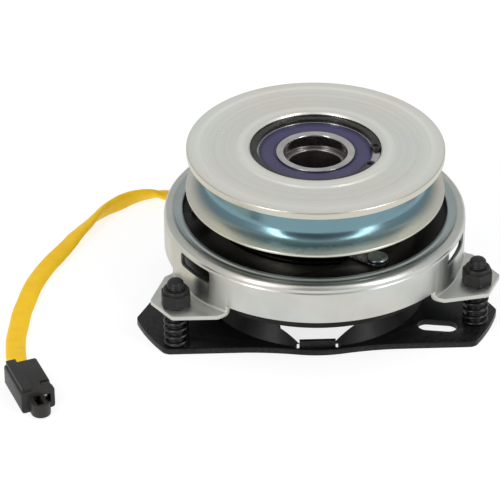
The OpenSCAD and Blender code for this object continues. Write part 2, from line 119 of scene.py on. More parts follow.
# The flat lead sleeve's route: x, y, z in millimetres and the roll of its flat side in degrees
SLEEVE_ROUTE = (
    (-35, 43, 7.5, 0), (-38, 47, 7, 0), (-42, 52, 5.9, 0), (-46, 58, 4.4, 0),
    (-50, 65, 2.8, 0), (-54, 72, 1.7, 0), (-59, 79, 1.5, 0), (-65, 84, 1.7, 5),
    (-72, 86, 2.3, 20), (-79, 85, 3.3, 50), (-86, 82, 3.7, 70), (-93, 77, 3.9, 85),
    (-100, 71, 3.8, 75), (-106, 64, 3.4, 55), (-111, 56, 2.8, 35), (-116, 48, 2.3, 20),
    (-120, 40, 1.8, 10), (-125, 31, 1.4, 0), (-130, 21, 1.4, 0), (-134, 11, 1.4, 0),
    (-137, 1, 1.4, 0), (-139, -9, 1.4, 0), (-141, -19, 1.4, 0), (-142, -29, 1.4, 0),
    (-143, -39, 1.6, 0), (-143, -48, 2.2, 0), (-142.6, -56, 3, 0), (-141.6, -64, 3.8, 0),
    (-139.9, -70.9, 4.2, 0),
)


# ---------------------------------------------------------------- settings


def length_property(name, description, default):
    return FloatProperty(name=name, description=description, default=default, unit="LENGTH")


class ClutchSizes(bpy.types.PropertyGroup):
    """Sizes of the details that the CAD leaves plain"""

    edge_radius: length_property(
        "Edge radius", "Rounding of the edges of pressed and machined pieces", 0.0003
    )
    lathe_steps: IntProperty(
        name="Lathe steps", description="Number of flats round a turned piece", default=256
    )
    spring_turns: FloatProperty(
        name="Spring turns", description="Turns of each brake spring", default=6.0
    )
    spring_wire: length_property("Spring wire", "Radius of the brake springs' wire", 0.0008)
    thread_pitch: length_property(
        "Thread pitch", "Rise of the studs' thread in one turn", 0.00125
    )
    sleeve_width: length_property("Sleeve width", "Width of the flat lead sleeve", 0.0095)
    sleeve_thickness: length_property(
        "Sleeve thickness", "Thickness of the flat lead sleeve", 0.0046
    )


def colour_property(name, description, default):
    return FloatVectorProperty(
        name=name, description=description, default=default, size=3, subtype="COLOR",
        min=0.0, max=1.0,
    )


class ClutchColours(bpy.types.PropertyGroup):
    """Colours of the finishes"""

    bright_zinc: colour_property(
        "Bright zinc", "Turned and plated steel of the pulley", (0.97, 0.96, 0.915)
    )
    pressed_zinc: colour_property(
        "Pressed zinc", "Plated sheet steel of the brake ring", (0.585, 0.585, 0.56)
    )
    # blue-green tint of the plating, made dark enough to serve also as painted shade in the
    # pulley's groove and in the hollow behind the brake ring's lip
    passivation_and_shade: colour_property(
        "Passivation tint", "Blue-green tint in the plating's hollows", (0.17, 0.285, 0.325)
    )
    black_paint: colour_property(
        "Black paint", "Paint of the mounting plate", (0.006, 0.006, 0.0065)
    )
    black_oxide: colour_property(
        "Black oxide", "Blackened steel of nuts, studs and springs", (0.020, 0.020, 0.020)
    )
    race_steel: colour_property(
        "Race steel", "Ground steel of the bearing races", (0.62, 0.60, 0.59)
    )
    seal_rubber: colour_property(
        "Seal rubber", "Rubber of the bearing seals", (0.042, 0.036, 0.105)
    )
    sleeve_yellow: colour_property(
        "Sleeve yellow", "Vinyl of the lead sleeve", (0.98, 0.60, 0.008)
    )
    copper: colour_property(
        "Copper", "Enamelled wire of the coil", (0.62, 0.22, 0.08)
    )
    floor: colour_property("Floor", "The plain floor", (0.93, 0.93, 0.93))


def sizes():
    return bpy.context.scene.clutch_sizes


def colours():
    return bpy.context.scene.clutch_colours


# ---------------------------------------------------------------- node helpers


def new_tree(name, kind, inputs, outputs):
    """A node group with its named sockets, and its input and output nodes."""
    tree = bpy.data.node_groups.new(name, kind)
    for label, socket, default in inputs:
        item = tree.interface.new_socket(name=label, in_out="INPUT", socket_type=socket)
        if default is not None:
            item.default_value = default
    for label, socket in outputs:
        tree.interface.new_socket(name=label, in_out="OUTPUT", socket_type=socket)
    return tree, tree.nodes.new("NodeGroupInput"), tree.nodes.new("NodeGroupOutput")


def fill(tree, sockets, values):
    """Each socket gets its value: a number, another socket or nothing at all."""
    for socket, value in zip(sockets, values):
        if isinstance(value, (int, float)):
            socket.default_value = value
        elif value is not None:
            tree.links.new(value, socket)


def maths(tree, operation, *values):
    """A Math node of this operation; its values are sockets or numbers."""
    node = tree.nodes.new("ShaderNodeMath")
    node.operation = operation
    fill(tree, node.inputs, values)
    return node.outputs[0]


def times(tree, a, b):
    return maths(tree, "MULTIPLY", a, b)


def plus(tree, a, b):
    return maths(tree, "ADD", a, b)


def mapped(tree, value, low, high, to_low=0.0, to_high=1.0):
    """value taken smoothly from one range to another."""
    node = tree.nodes.new("ShaderNodeMapRange")
    node.interpolation_type = "SMOOTHSTEP"
    tree.links.new(value, node.inputs["Value"])
    for label, number in (
        ("From Min", low), ("From Max", high), ("To Min", to_low), ("To Max", to_high),
    ):
        node.inputs[label].default_value = number
    return node.outputs["Result"]


def mixed(tree, factor, a, b, blend="MIX"):
    """A colour mix; a and b are sockets or colours."""
    node = tree.nodes.new("ShaderNodeMix")
    node.data_type = "RGBA"
    node.blend_type = blend
    for socket, value in ((node.inputs[0], factor), (node.inputs[6], a), (node.inputs[7], b)):
        if isinstance(value, (int, float)):
            socket.default_value = value
        elif isinstance(value, bpy.types.NodeSocket):
            tree.links.new(value, socket)
        else:
            socket.default_value = (*tuple(value)[:3], 1.0)
    return node.outputs[2]


def tinted(tree, base, colour):
    return mixed(tree, 1.0, base, colour, "MULTIPLY")


def scaled(colour, share):
    return tuple(v * share for v in tuple(colour)[:3])


def noise(tree, vector, scale, detail=2.0, roughness=0.5):
    node = tree.nodes.new("ShaderNodeTexNoise")
    labels = ("Vector", "Scale", "Detail", "Roughness")
    fill(tree, [node.inputs[label] for label in labels], (vector, scale, detail, roughness))
    return node.outputs["Fac"]


def object_coordinates(tree):
    return tree.nodes.new("ShaderNodeTexCoord").outputs["Object"]


def split(tree, vector):
    node = tree.nodes.new("ShaderNodeSeparateXYZ")
    tree.links.new(vector, node.inputs[0])
    return node.outputs


def combined(tree, x, y, z):
    node = tree.nodes.new("ShaderNodeCombineXYZ")
    fill(tree, node.inputs, (x, y, z))
    return node.outputs[0]


def axis_radius(tree, x, y):
    return maths(tree, "SQRT", plus(tree, times(tree, x, x), times(tree, y, y)))


# ---------------------------------------------------------------- shared shader groups


def turning_marks_group():
    """Fine rings left by a lathe about the Z axis, and their broad light and dark bands."""
    tree, into, out = new_tree(
        "turning_marks", "ShaderNodeTree",
        [("Lines", "NodeSocketFloat", 4000.0), ("Bands", "NodeSocketFloat", 300.0)],
        [("Height", "NodeSocketFloat"), ("Tone", "NodeSocketFloat")],
    )
    x, y, z = split(tree, object_coordinates(tree))
    spot = combined(tree, axis_radius(tree, x, y), z, 0.0)
    tree.links.new(noise(tree, spot, into.outputs["Lines"], 3.0, 0.7), out.inputs["Height"])
    tree.links.new(noise(tree, spot, into.outputs["Bands"], 2.0, 0.6), out.inputs["Tone"])
    return tree


def fine_grain_group():
    """Small grain and large soft blotches over any surface."""
    tree, into, out = new_tree(
        "fine_grain", "ShaderNodeTree",
        [("Grain Scale", "NodeSocketFloat", 2500.0), ("Blotch Scale", "NodeSocketFloat", 60.0)],
        [("Grain", "NodeSocketFloat"), ("Blotch", "NodeSocketFloat")],
    )
    spot = object_coordinates(tree)
    tree.links.new(noise(tree, spot, into.outputs["Grain Scale"], 4.0, 0.6), out.inputs["Grain"])
    blotch = noise(tree, spot, into.outputs["Blotch Scale"], 3.0, 0.55)
    tree.links.new(mapped(tree, blotch, 0.3, 0.7), out.inputs["Blotch"])
    return tree


def edge_wear_group():
    """Where an outer edge stands proud and has been rubbed."""
    tree, into, out = new_tree(
        "edge_wear", "ShaderNodeTree",
        [("Scale", "NodeSocketFloat", 700.0), ("Amount", "NodeSocketFloat", 0.6)],
        [("Mask", "NodeSocketFloat")],
    )
    edge = tree.nodes.new("ShaderNodeNewGeometry").outputs["Pointiness"]
    patches = noise(tree, object_coordinates(tree), into.outputs["Scale"], 3.0)
    mask = times(tree, mapped(tree, edge, 0.51, 0.58), mapped(tree, patches, 0.35, 0.65))
    tree.links.new(times(tree, mask, into.outputs["Amount"]), out.inputs["Mask"])
    return tree


def plating_tint_group():
    """Pale yellow, pink and blue drifts of passivated zinc."""
    tree, into, out = new_tree(
        "plating_tint", "ShaderNodeTree",
        [("Scale", "NodeSocketFloat", 22.0)], [("Colour", "NodeSocketColor")],
    )
    x, y, z = split(tree, object_coordinates(tree))
    spot = combined(tree, x, y, times(tree, z, 2.5))
    drift = noise(tree, spot, into.outputs["Scale"], 2.0, 0.5)
    ramp = tree.nodes.new("ShaderNodeValToRGB")
    tree.links.new(drift, ramp.inputs[0])
    stops = ramp.color_ramp.elements
    stops[0].position, stops[0].color = 0.30, (0.93, 0.99, 1.0, 1.0)
    stops[1].position, stops[1].color = 0.72, (1.0, 0.955, 0.90, 1.0)
    stops.new(0.45).color = (0.97, 1.0, 0.97, 1.0)
    stops.new(0.60).color = (1.0, 0.98, 0.95, 1.0)
    tree.links.new(ramp.outputs[0], out.inputs["Colour"])
    return tree


GROUPS = {
    "turning_marks": turning_marks_group,
    "fine_grain": fine_grain_group,
    "edge_wear": edge_wear_group,
    "plating_tint": plating_tint_group,
}


def placed(tree, name, **values):
    """One of the shared groups, placed in a material with its own values."""
    group = bpy.data.node_groups.get(name) or GROUPS[name]()
    node = tree.nodes.new("ShaderNodeGroup")
    node.node_tree = group
    for label, value in values.items():
        node.inputs[label.replace("_", " ")].default_value = value
    return node.outputs


def grained(tree, grain_scale, blotch_scale):
    return placed(tree, "fine_grain", Grain_Scale=grain_scale, Blotch_Scale=blotch_scale)


def worn_edges(tree, scale, amount):
    return placed(tree, "edge_wear", Scale=scale, Amount=amount)["Mask"]


# ---------------------------------------------------------------- finishes


def blank_material(name, metallic, **constants):
    """A new material and its tree, with constants set on the Principled shader itself."""
    made = bpy.data.materials.new(name + "_look")
    made.use_nodes = True
    inputs = made.node_tree.nodes["Principled BSDF"].inputs
    inputs["Metallic"].default_value = metallic
    for label, value in constants.items():
        inputs[label.replace("_", " ")].default_value = value
    return made, made.node_tree


def finished(made, base, rough, height, distance, strength):
    """made with its colour, its roughness and the height of its bump."""
    tree = made.node_tree
    bump = tree.nodes.new("ShaderNodeBump")
    bump.inputs["Strength"].default_value = strength
    bump.inputs["Distance"].default_value = distance
    tree.links.new(height, bump.inputs["Height"])
    inputs = tree.nodes["Principled BSDF"].inputs
    tree.links.new(base, inputs["Base Color"])
    tree.links.new(rough, inputs["Roughness"])
    tree.links.new(bump.outputs[0], inputs["Normal"])
    return made


def material(name):
    """The named finish, made the first time it is asked for."""
    made = bpy.data.materials.get(name + "_look")
    if made:
        return made
    if name in SPECIAL_FINISHES:
        return SPECIAL_FINISHES[name]()
    if name in METALS:
        colour, rough, details = METALS[name]
        return plain_metal(name, colour or getattr(colours(), name), rough, **details)
    colour, rough, details = MOULDINGS[name]
    return moulded(name, colour, rough, **details)


def zinc_pulley():
    """Turned, bright zinc; blue-green plating tint with painted shade at the bottom of the groove,
    and painted shade below the groove and on the outer face.
    """
    made, tree = blank_material("zinc_pulley", 1.0)
    x, y, z = split(tree, object_coordinates(tree))
    radius = axis_radius(tree, x, y)
    marks = placed(tree, "turning_marks", Lines=2600.0, Bands=160.0)
    tint = placed(tree, "plating_tint", Scale=18.0)["Colour"]
    grain = grained(tree, 1800.0, 45.0)
    base = mixed(tree, 0.75, colours().bright_zinc, tint, "MULTIPLY")
    base = mixed(tree, mapped(tree, marks["Tone"], 0.35, 0.7), base,
                 tinted(tree, base, (0.86, 0.86, 0.85)))
    # blue-green plating tint, darkened as painted shade, at the bottom of the groove
    between = times(tree, mapped(tree, z, *GROOVE_FOOT), mapped(tree, z, *GROOVE_HEAD, 1.0, 0.0))
    groove_tint_and_shade = times(tree, mapped(tree, radius, *GROOVE_DEPTH, 1.0, 0.0), between)
    base = mixed(tree, groove_tint_and_shade, base, colours().passivation_and_shade)
    # painted shade: the lower flange and the pulley's outer face are darkened
    painted_shade_low_and_outside = maths(tree, "MAXIMUM", mapped(tree, z, *GROOVE_BELOW, 1.0, 0.0),
                 mapped(tree, radius, *PULLEY_OUTSIDE))
    base = mixed(tree, painted_shade_low_and_outside, base, tinted(tree, base, (0.68, 0.67, 0.63)))
    rough = plus(tree, mapped(tree, grain["Blotch"], 0.0, 1.0, 0.22, 0.30),
                 times(tree, marks["Height"], 0.10))
    rough = maths(tree, "SUBTRACT", rough, times(tree, groove_tint_and_shade, 0.10))
    height = plus(tree, marks["Height"], times(tree, grain["Grain"], 0.25))
    return finished(made, base, rough, height, 0.00003, 0.8)


def zinc_sheet():
    """Rolled and pressed zinc-plated sheet with a satin face, and painted shade in the hollow
    behind the lip.
    """
    made, tree = blank_material("zinc_sheet", 1.0)
    x, y, z = split(tree, object_coordinates(tree))
    tint = placed(tree, "plating_tint", Scale=16.0)["Colour"]
    grain = grained(tree, 1500.0, 70.0)
    drawn = noise(tree, combined(tree, x, y, times(tree, z, 0.12)), 900.0, 3.0)
    base = mixed(tree, 0.8, colours().pressed_zinc, tint, "MULTIPLY")
    base = mixed(tree, times(tree, grain["Blotch"], 0.5), base,
                 tinted(tree, base, (0.88, 0.88, 0.87)))
    # blue-green plating tint with painted shade in the hollow behind the lip
    valley_tint_and_shade = times(tree, mapped(tree, axis_radius(tree, x, y), *LIP_VALLEY, 1.0, 0.0),
                   mapped(tree, z, *LIP_HEIGHT))
    base = mixed(tree, times(tree, valley_tint_and_shade, 0.42), base, colours().passivation_and_shade)
    rough = plus(tree, mapped(tree, grain["Blotch"], 0.0, 1.0, 0.27, 0.37),
                 times(tree, drawn, 0.08))
    height = plus(tree, times(tree, grain["Grain"], 0.6), drawn)
    return finished(made, base, rough, height, 0.00003, 0.55)


def plain_metal(name, colour, rough, turned=0.0, wear=0.0, metallic=1.0, depth=0.00002,
                worn=(0.35, 0.34, 0.33)):
    """A steel finish with grain, lathe rings where it is turned, and rubbed edges."""
    made, tree = blank_material(name, metallic)
    grain = grained(tree, 2200.0, 90.0)
    base = mixed(tree, grain["Blotch"], colour, scaled(colour, 0.72))
    height = grain["Grain"]
    if turned:
        marks = placed(tree, "turning_marks", Lines=3200.0, Bands=240.0)
        base = mixed(tree, mapped(tree, marks["Tone"], 0.35, 0.7), base,
                     tinted(tree, base, (0.78, 0.78, 0.78)))
        height = plus(tree, times(tree, marks["Height"], turned), grain["Grain"])
    if wear:
        base = mixed(tree, worn_edges(tree, 900.0, wear), base, worn)
    spread = plus(tree, times(tree, grain["Grain"], 0.12), rough - 0.06)
    return finished(made, base, spread, height, depth, 0.6)


def black_paint():
    """Baked black paint with a faint orange-peel skin."""
    made, tree = blank_material("black_paint", 0.0, Specular_IOR_Level=0.16, Coat_Weight=0.05,
                                Coat_Roughness=0.2)
    paint = colours().black_paint
    grain = grained(tree, 650.0, 50.0)
    base = mixed(tree, grain["Blotch"], paint, scaled(paint, 1.5))
    base = mixed(tree, worn_edges(tree, 600.0, 0.25), base, (0.05, 0.049, 0.048))
    rough = mapped(tree, grain["Grain"], 0.2, 0.8, 0.30, 0.46)
    return finished(made, base, rough, grain["Grain"], 0.00005, 0.35)


def moulded(name, colour, rough, grain_scale=1400.0, depth=0.00003, shine=0.5):
    """Moulded plastic or rubber with a fine sparked texture."""
    made, tree = blank_material(name, 0.0, Specular_IOR_Level=shine)
    grain = grained(tree, grain_scale, 120.0)
    lighter = tuple(min(1.0, v * 1.9 + 0.004) for v in colour)
    base = mixed(tree, grain["Blotch"], colour, scaled(colour, 0.8))
    base = mixed(tree, worn_edges(tree, 800.0, 0.35), base, lighter)
    spread = mapped(tree, grain["Grain"], 0.2, 0.8, rough - 0.07, rough + 0.09)
    return finished(made, base, spread, grain["Grain"], depth, 0.5)


def seal_rubber():
    """Seal rubber, darker in its rings, with a satin face."""
    made, tree = blank_material("seal_rubber", 0.0)
    rubber = colours().seal_rubber
    tone = placed(tree, "turning_marks", Lines=1400.0, Bands=420.0)["Tone"]
    grain = grained(tree, 2600.0, 140.0)
    base = mixed(tree, mapped(tree, tone, 0.35, 0.65), rubber, scaled(rubber, 0.72))
    base = mixed(tree, times(tree, grain["Blotch"], 0.4), base, scaled(rubber, 1.35))
    rough = mapped(tree, grain["Grain"], 0.2, 0.8, 0.36, 0.5)
    return finished(made, base, rough, grain["Grain"], 0.00003, 0.4)


def sleeve_vinyl():
    """Yellow sleeve with painted shade along each crease, and fine lengthwise threads."""
    made, tree = blank_material("sleeve_vinyl", 0.0, Specular_IOR_Level=0.3)
    yellow = colours().sleeve_yellow
    place = tree.nodes.new("ShaderNodeUVMap")
    place.uv_map = "along"
    u, v, _ = split(tree, place.outputs[0])

    def stretched(across, along):
        return combined(tree, times(tree, u, across), times(tree, v, along), 0.0)

    threads = noise(tree, stretched(60.0, 90.0), 1.0, 2.0)
    creases_and_shade = noise(tree, stretched(3.0, 150.0), 1.0, 3.0)
    weave = tree.nodes.new("ShaderNodeTexWave")
    weave.wave_type, weave.bands_direction = "BANDS", "DIAGONAL"
    tree.links.new(stretched(14.0, 700.0), weave.inputs["Vector"])
    weave.inputs["Scale"].default_value = 1.0
    # painted shade along each crease
    base = mixed(tree, mapped(tree, creases_and_shade, 0.35, 0.75), yellow,
                 tuple(v * k for v, k in zip(yellow, (0.95, 0.90, 0.8))))
    base = mixed(tree, times(tree, threads, 0.16), base, (0.98, 0.66, 0.02))
    height = plus(tree, times(tree, creases_and_shade, 0.8),
                  plus(tree, threads, times(tree, weave.outputs["Fac"], 0.3)))
    return finished(made, base, mapped(tree, threads, 0.2, 0.8, 0.42, 0.58), height, 0.00012, 0.5)


def copper_wire():
    """Enamelled copper wound in close turns, with painted shade where each turn meets the next."""
    made, tree = blank_material("copper_wire", 1.0)
    _, _, z = split(tree, object_coordinates(tree))
    # painted shade: each turn full copper at its crown and darker where it meets the next
    turns = maths(tree, "ABSOLUTE", maths(tree, "SINE", times(tree, z, 5200.0)))
    base = mixed(tree, turns, scaled(colours().copper, 0.35), colours().copper)
    return finished(made, base, mapped(tree, turns, 0.0, 1.0, 0.5, 0.25), turns, 0.0002, 0.8)


def floor_finish():
    """Plain pale floor with a barely seen unevenness."""
    made, tree = blank_material("floor_finish", 0.0, Roughness=0.9, Specular_IOR_Level=0.0,
                                Emission_Strength=0.86)
    pale = colours().floor
    inputs = tree.nodes["Principled BSDF"].inputs
    drift = noise(tree, object_coordinates(tree), 3.0, 2.0)
    tree.links.new(mixed(tree, drift, scaled(pale, 0.3), scaled(pale, 0.29)),
                   inputs["Base Color"])
    tree.links.new(mixed(tree, drift, pale, scaled(pale, 0.99)), inputs["Emission Color"])
    return made


SPECIAL_FINISHES = {
    "zinc_pulley": zinc_pulley,
    "zinc_sheet": zinc_sheet,
    "black_paint": black_paint,
    "seal_rubber": seal_rubber,
    "sleeve_vinyl": sleeve_vinyl,
    "copper_wire": copper_wire,
    "floor_finish": floor_finish,
}

# Colour (None takes the colour setting of that name), roughness and what else plain_metal takes
METALS = {
    "race_steel": (None, 0.20, {"turned": 0.7, "depth": 0.000012}),
    "rivet_steel": ((0.20, 0.235, 0.245), 0.26, {"wear": 0.9, "worn": (0.75, 0.73, 0.70)}),
    "strap_steel": ((0.07, 0.068, 0.066), 0.32, {"wear": 0.9, "worn": (0.62, 0.59, 0.56)}),
    "hub_steel": ((0.33, 0.315, 0.30), 0.33, {"turned": 1.0}),
    "rotor_steel": ((0.026, 0.025, 0.022), 0.5, {
        "turned": 0.8, "wear": 0.15, "depth": 0.00003, "worn": (0.06, 0.058, 0.055)}),
    "armature_steel": ((0.015, 0.0145, 0.0145), 0.42, {
        "turned": 0.8, "wear": 0.25, "depth": 0.00003, "worn": (0.12, 0.115, 0.11)}),
    "black_oxide": (None, 0.46, {"wear": 0.5, "metallic": 0.55, "worn": (0.11, 0.105, 0.10)}),
    "spring_steel": ((0.045, 0.045, 0.047), 0.30, {"metallic": 0.9, "depth": 0.00001}),
    "snap_steel": ((0.05, 0.049, 0.046), 0.34, {
        "metallic": 0.85, "wear": 0.7, "worn": (0.22, 0.21, 0.20)}),
    "coil_steel": ((0.045, 0.044, 0.042), 0.45, {"turned": 0.7, "wear": 0.3}),
    "ball_steel": ((0.68, 0.68, 0.69), 0.16, {"depth": 0.000004}),
    "cage_steel": ((0.42, 0.40, 0.37), 0.38, {}),
    "terminal_metal": ((0.62, 0.58, 0.47), 0.3, {}),
}

# Colour, roughness and what else moulded takes
MOULDINGS = {
    "plug_plastic": ((0.024, 0.0225, 0.0215), 0.44, {"shine": 0.3}),
    "lock_plastic": ((0.012, 0.012, 0.013), 0.4, {}),
    "grommet_rubber": ((0.014, 0.014, 0.014), 0.6, {}),
    "lead_rubber": ((0.02, 0.018, 0.018), 0.5, {}),
    "bobbin_plastic": ((0.018, 0.018, 0.019), 0.48, {}),
    "potting_resin": ((0.030, 0.026, 0.022), 0.35, {"grain_scale": 500.0}),
    "insert_nylon": ((0.62, 0.62, 0.58), 0.42, {}),
    "friction_lining": ((0.075, 0.05, 0.035), 0.85, {"grain_scale": 900.0, "depth": 0.0002}),
}


# ---------------------------------------------------------------- geometry node trees


def lathe_tree():
    """Turns a closed profile, given as points in the XZ plane, about the Z axis."""
    tree, into, out = new_tree(
        "lathe", "GeometryNodeTree",
        [("Profile", "NodeSocketGeometry", None), ("Steps", "NodeSocketInt", 128),
         ("Points", "NodeSocketInt", 12), ("Finish", "NodeSocketMaterial", None)],
        [("Geometry", "NodeSocketGeometry")],
    )
    new, link = tree.nodes.new, tree.links.new
    grid = new("GeometryNodeMeshGrid")
    link(plus(tree, into.outputs["Steps"], 1), grid.inputs["Vertices X"])
    across = plus(tree, into.outputs["Points"], 1)
    link(across, grid.inputs["Vertices Y"])
    index = new("GeometryNodeInputIndex").outputs[0]
    column = maths(tree, "FLOOR", maths(tree, "DIVIDE", plus(tree, index, 0.5), across))
    row = maths(tree, "SUBTRACT", index, times(tree, column, across))
    row = maths(tree, "MODULO", row, into.outputs["Points"])
    sample = new("GeometryNodeSampleIndex")
    sample.data_type = "FLOAT_VECTOR"
    link(into.outputs["Profile"], sample.inputs["Geometry"])
    link(new("GeometryNodeInputPosition").outputs[0], sample.inputs["Value"])
    link(row, sample.inputs["Index"])
    x, _, z = split(tree, sample.outputs["Value"])
    angle = times(tree, maths(tree, "DIVIDE", column, into.outputs["Steps"]), math.tau)
    place = combined(tree, times(tree, x, maths(tree, "COSINE", angle)),
                     times(tree, x, maths(tree, "SINE", angle)), z)
    moved = new("GeometryNodeSetPosition")
    link(grid.outputs["Mesh"], moved.inputs["Geometry"])
    link(place, moved.inputs["Position"])
    merged = new("GeometryNodeMergeByDistance")
    merged.inputs["Distance"].default_value = 1e-6
    link(moved.outputs[0], merged.inputs["Geometry"])
    finish_tree(tree, merged.outputs[0], into, out)
    return tree


def tube_tree():
    """Sweeps a round section along a line of edges, with closed ends."""
    tree, into, out = new_tree(
        "swept_wire", "GeometryNodeTree",
        [("Line", "NodeSocketGeometry", None), ("Wire Radius", "NodeSocketFloat", 0.001),
         ("Sides", "NodeSocketInt", 12), ("Finish", "NodeSocketMaterial", None)],
        [("Geometry", "NodeSocketGeometry")],
    )
    new, link = tree.nodes.new, tree.links.new
    curve = new("GeometryNodeMeshToCurve")
    link(into.outputs["Line"], curve.inputs[0])
    ring = new("GeometryNodeCurvePrimitiveCircle")
    link(into.outputs["Sides"], ring.inputs["Resolution"])
    link(into.outputs["Wire Radius"], ring.inputs["Radius"])
    sweep = new("GeometryNodeCurveToMesh")
    link(curve.outputs[0], sweep.inputs["Curve"])
    link(ring.outputs[0], sweep.inputs["Profile Curve"])
    sweep.inputs["Fill Caps"].default_value = True
    finish_tree(tree, sweep.outputs[0], into, out)
    return tree


def polar_tree():
    """Copies a piece round the Z axis, each copy turned to face outwards."""
    tree, into, out = new_tree(
        "round_the_axis", "GeometryNodeTree",
        [("Piece", "NodeSocketGeometry", None), ("Count", "NodeSocketInt", 3),
         ("Circle Radius", "NodeSocketFloat", 0.08), ("First Angle", "NodeSocketFloat", 0.0),
         ("Finish", "NodeSocketMaterial", None)],
        [("Geometry", "NodeSocketGeometry")],
    )
    new, link = tree.nodes.new, tree.links.new
    index = new("GeometryNodeInputIndex").outputs[0]
    step = maths(tree, "DIVIDE", math.tau, into.outputs["Count"])
    angle = plus(tree, times(tree, index, step), into.outputs["First Angle"])
    radius = into.outputs["Circle Radius"]
    place = combined(tree, times(tree, radius, maths(tree, "SINE", angle)),
                     times(tree, times(tree, radius, -1.0), maths(tree, "COSINE", angle)), 0.0)
    points = new("GeometryNodePoints")
    link(into.outputs["Count"], points.inputs["Count"])
    link(place, points.inputs["Position"])
    copies = new("GeometryNodeInstanceOnPoints")
    link(points.outputs[0], copies.inputs["Points"])
    link(into.outputs["Piece"], copies.inputs["Instance"])
    link(combined(tree, 0.0, 0.0, angle), copies.inputs["Rotation"])
    finish_tree(tree, copies.outputs[0], into, out)
    return tree


def finish_tree(tree, geometry, into, out):
    """Ends a tree in Realize Instances and Set Material."""
    real = tree.nodes.new("GeometryNodeRealizeInstances")
    tree.links.new(geometry, real.inputs[0])
    finish = tree.nodes.new("GeometryNodeSetMaterial")
    tree.links.new(real.outputs[0], finish.inputs["Geometry"])
    tree.links.new(into.outputs["Finish"], finish.inputs["Material"])
    tree.links.new(finish.outputs[0], out.inputs[0])


TREES = {"lathe": lathe_tree, "swept_wire": tube_tree, "round_the_axis": polar_tree}


def through(obj, tree_name, **values):
    """Runs a piece through one of the trees and gives back a plain mesh object."""
    tree = bpy.data.node_groups.get(tree_name) or TREES[tree_name]()
    modifier = obj.modifiers.new(tree_name, "NODES")
    modifier.node_group = tree
    ids = {i.name: i.identifier for i in tree.interface.items_tree if i.in_out == "INPUT"}
    for label, value in values.items():
        modifier[ids[label.replace("_", " ")]] = value
    return baked(obj)


# ---------------------------------------------------------------- mesh helpers


def at_azimuth(azimuth, radius):
    """x and y of a point at an azimuth, in degrees from -Y towards +X."""
    a = math.radians(azimuth)
    return radius * math.sin(a), -radius * math.cos(a)


def polar(radius, angle, centre=(0.0, 0.0)):
    """x and y of a point at an angle, in radians from +X."""
    return centre[0] + radius * math.cos(angle), centre[1] + radius * math.sin(angle)


def band_faces(rows, around, closed=False):
    """Faces between rows of points that each go once round."""
    return [
        (i * around + k, i * around + (k + 1) % around,
         (i + 1) % rows * around + (k + 1) % around, (i + 1) % rows * around + k)
        for i in range(rows if closed else rows - 1) for k in range(around)
    ]


def new_object(name, mesh):
    obj = bpy.data.objects.new(name, mesh)
    bpy.context.scene.collection.objects.link(obj)
    return obj


def mesh_object(name, points, faces=(), edges=(), finish=None):
    """A mesh object from points in millimetres."""
    mesh = bpy.data.meshes.new(name)
    mesh.from_pydata([Vector(p) * MM for p in points], list(edges), list(faces))
    mesh.update()
    obj = new_object(name, mesh)
    if finish:
        mesh.materials.append(material(finish))
    return obj


def baked(obj):
    """obj with its modifiers made into plain mesh, under the same name."""
    graph = bpy.context.evaluated_depsgraph_get()
    mesh = bpy.data.meshes.new_from_object(obj.evaluated_get(graph), depsgraph=graph)
    name = obj.name
    bpy.data.objects.remove(obj)
    mesh.name = name
    return new_object(name, mesh)


def shaded(obj, angle=32.0, recalculate=False):
    """Smooth shading with sharp edges past the angle; normals outwards if asked."""
    if recalculate:
        work = bmesh.new()
        work.from_mesh(obj.data)
        bmesh.ops.remove_doubles(work, verts=work.verts, dist=1e-7)
        bmesh.ops.recalc_face_normals(work, faces=work.faces)
        work.to_mesh(obj.data)
        work.free()
    obj.data.shade_smooth()
    obj.data.set_sharp_from_angle(angle=math.radians(angle))
    return obj


def beveled(obj, width=None, angle=35.0, segments=2):
    """obj with its sharp edges rounded off."""
    bevel = obj.modifiers.new("rounded_edges", "BEVEL")
    bevel.width = sizes().edge_radius if width is None else width * MM
    bevel.segments = segments
    bevel.limit_method = "ANGLE"
    bevel.angle_limit = math.radians(angle)
    bevel.use_clamp_overlap = True
    return shaded(baked(obj), angle)


def softened(node, name, finish, width=None, angle=35.0, segments=2):
    """A copy of a CAD node with its edges rounded, standing for the node."""
    work = bmesh.new()
    work.from_mesh(NODES[node].data)
    bmesh.ops.remove_doubles(work, verts=work.verts, dist=2e-6)
    bmesh.ops.dissolve_limit(work, angle_limit=math.radians(0.8), verts=work.verts,
                             edges=work.edges)
    mesh = bpy.data.meshes.new(name)
    work.verts.index_update()
    mesh.from_pydata([v.co for v in work.verts], [],
                     [[v.index for v in f.verts] for f in work.faces])
    mesh.update()
    work.free()
    mesh.materials.append(material(finish))
    return standing_for(beveled(new_object(name, mesh), width, angle, segments), node)


def rounded(points, closed=True, steps=4):
    """Points of a flat outline with each corner (a, b, radius) turned into an arc."""
    out, count = [], len(points)
    for i, (x, y, radius) in enumerate(points):
        here = Vector((x, y))
        if radius <= 0 or (not closed and i in (0, count - 1)):
            out.append((x, y))
            continue
        before = Vector(points[i - 1][:2]) - here
        after = Vector(points[(i + 1) % count][:2]) - here
        half = before.angle(after) / 2
        reach = min(radius / max(math.tan(half), 1e-6), before.length * 0.48, after.length * 0.48)
        a, b = here + before.normalized() * reach, here + after.normalized() * reach
        for k in range(steps + 1):
            t = k / steps
            out.append(tuple(a * (1 - t) ** 2 + here * 2 * t * (1 - t) + b * t * t))
    return out


def copied_round(piece, circle, azimuths, finish):
    """One copy of a piece at each of these azimuths, evenly round a circle."""
    return through(piece, "round_the_axis", Count=len(azimuths), Circle_Radius=circle * MM,
                   First_Angle=math.radians(azimuths[0]), Finish=material(finish))


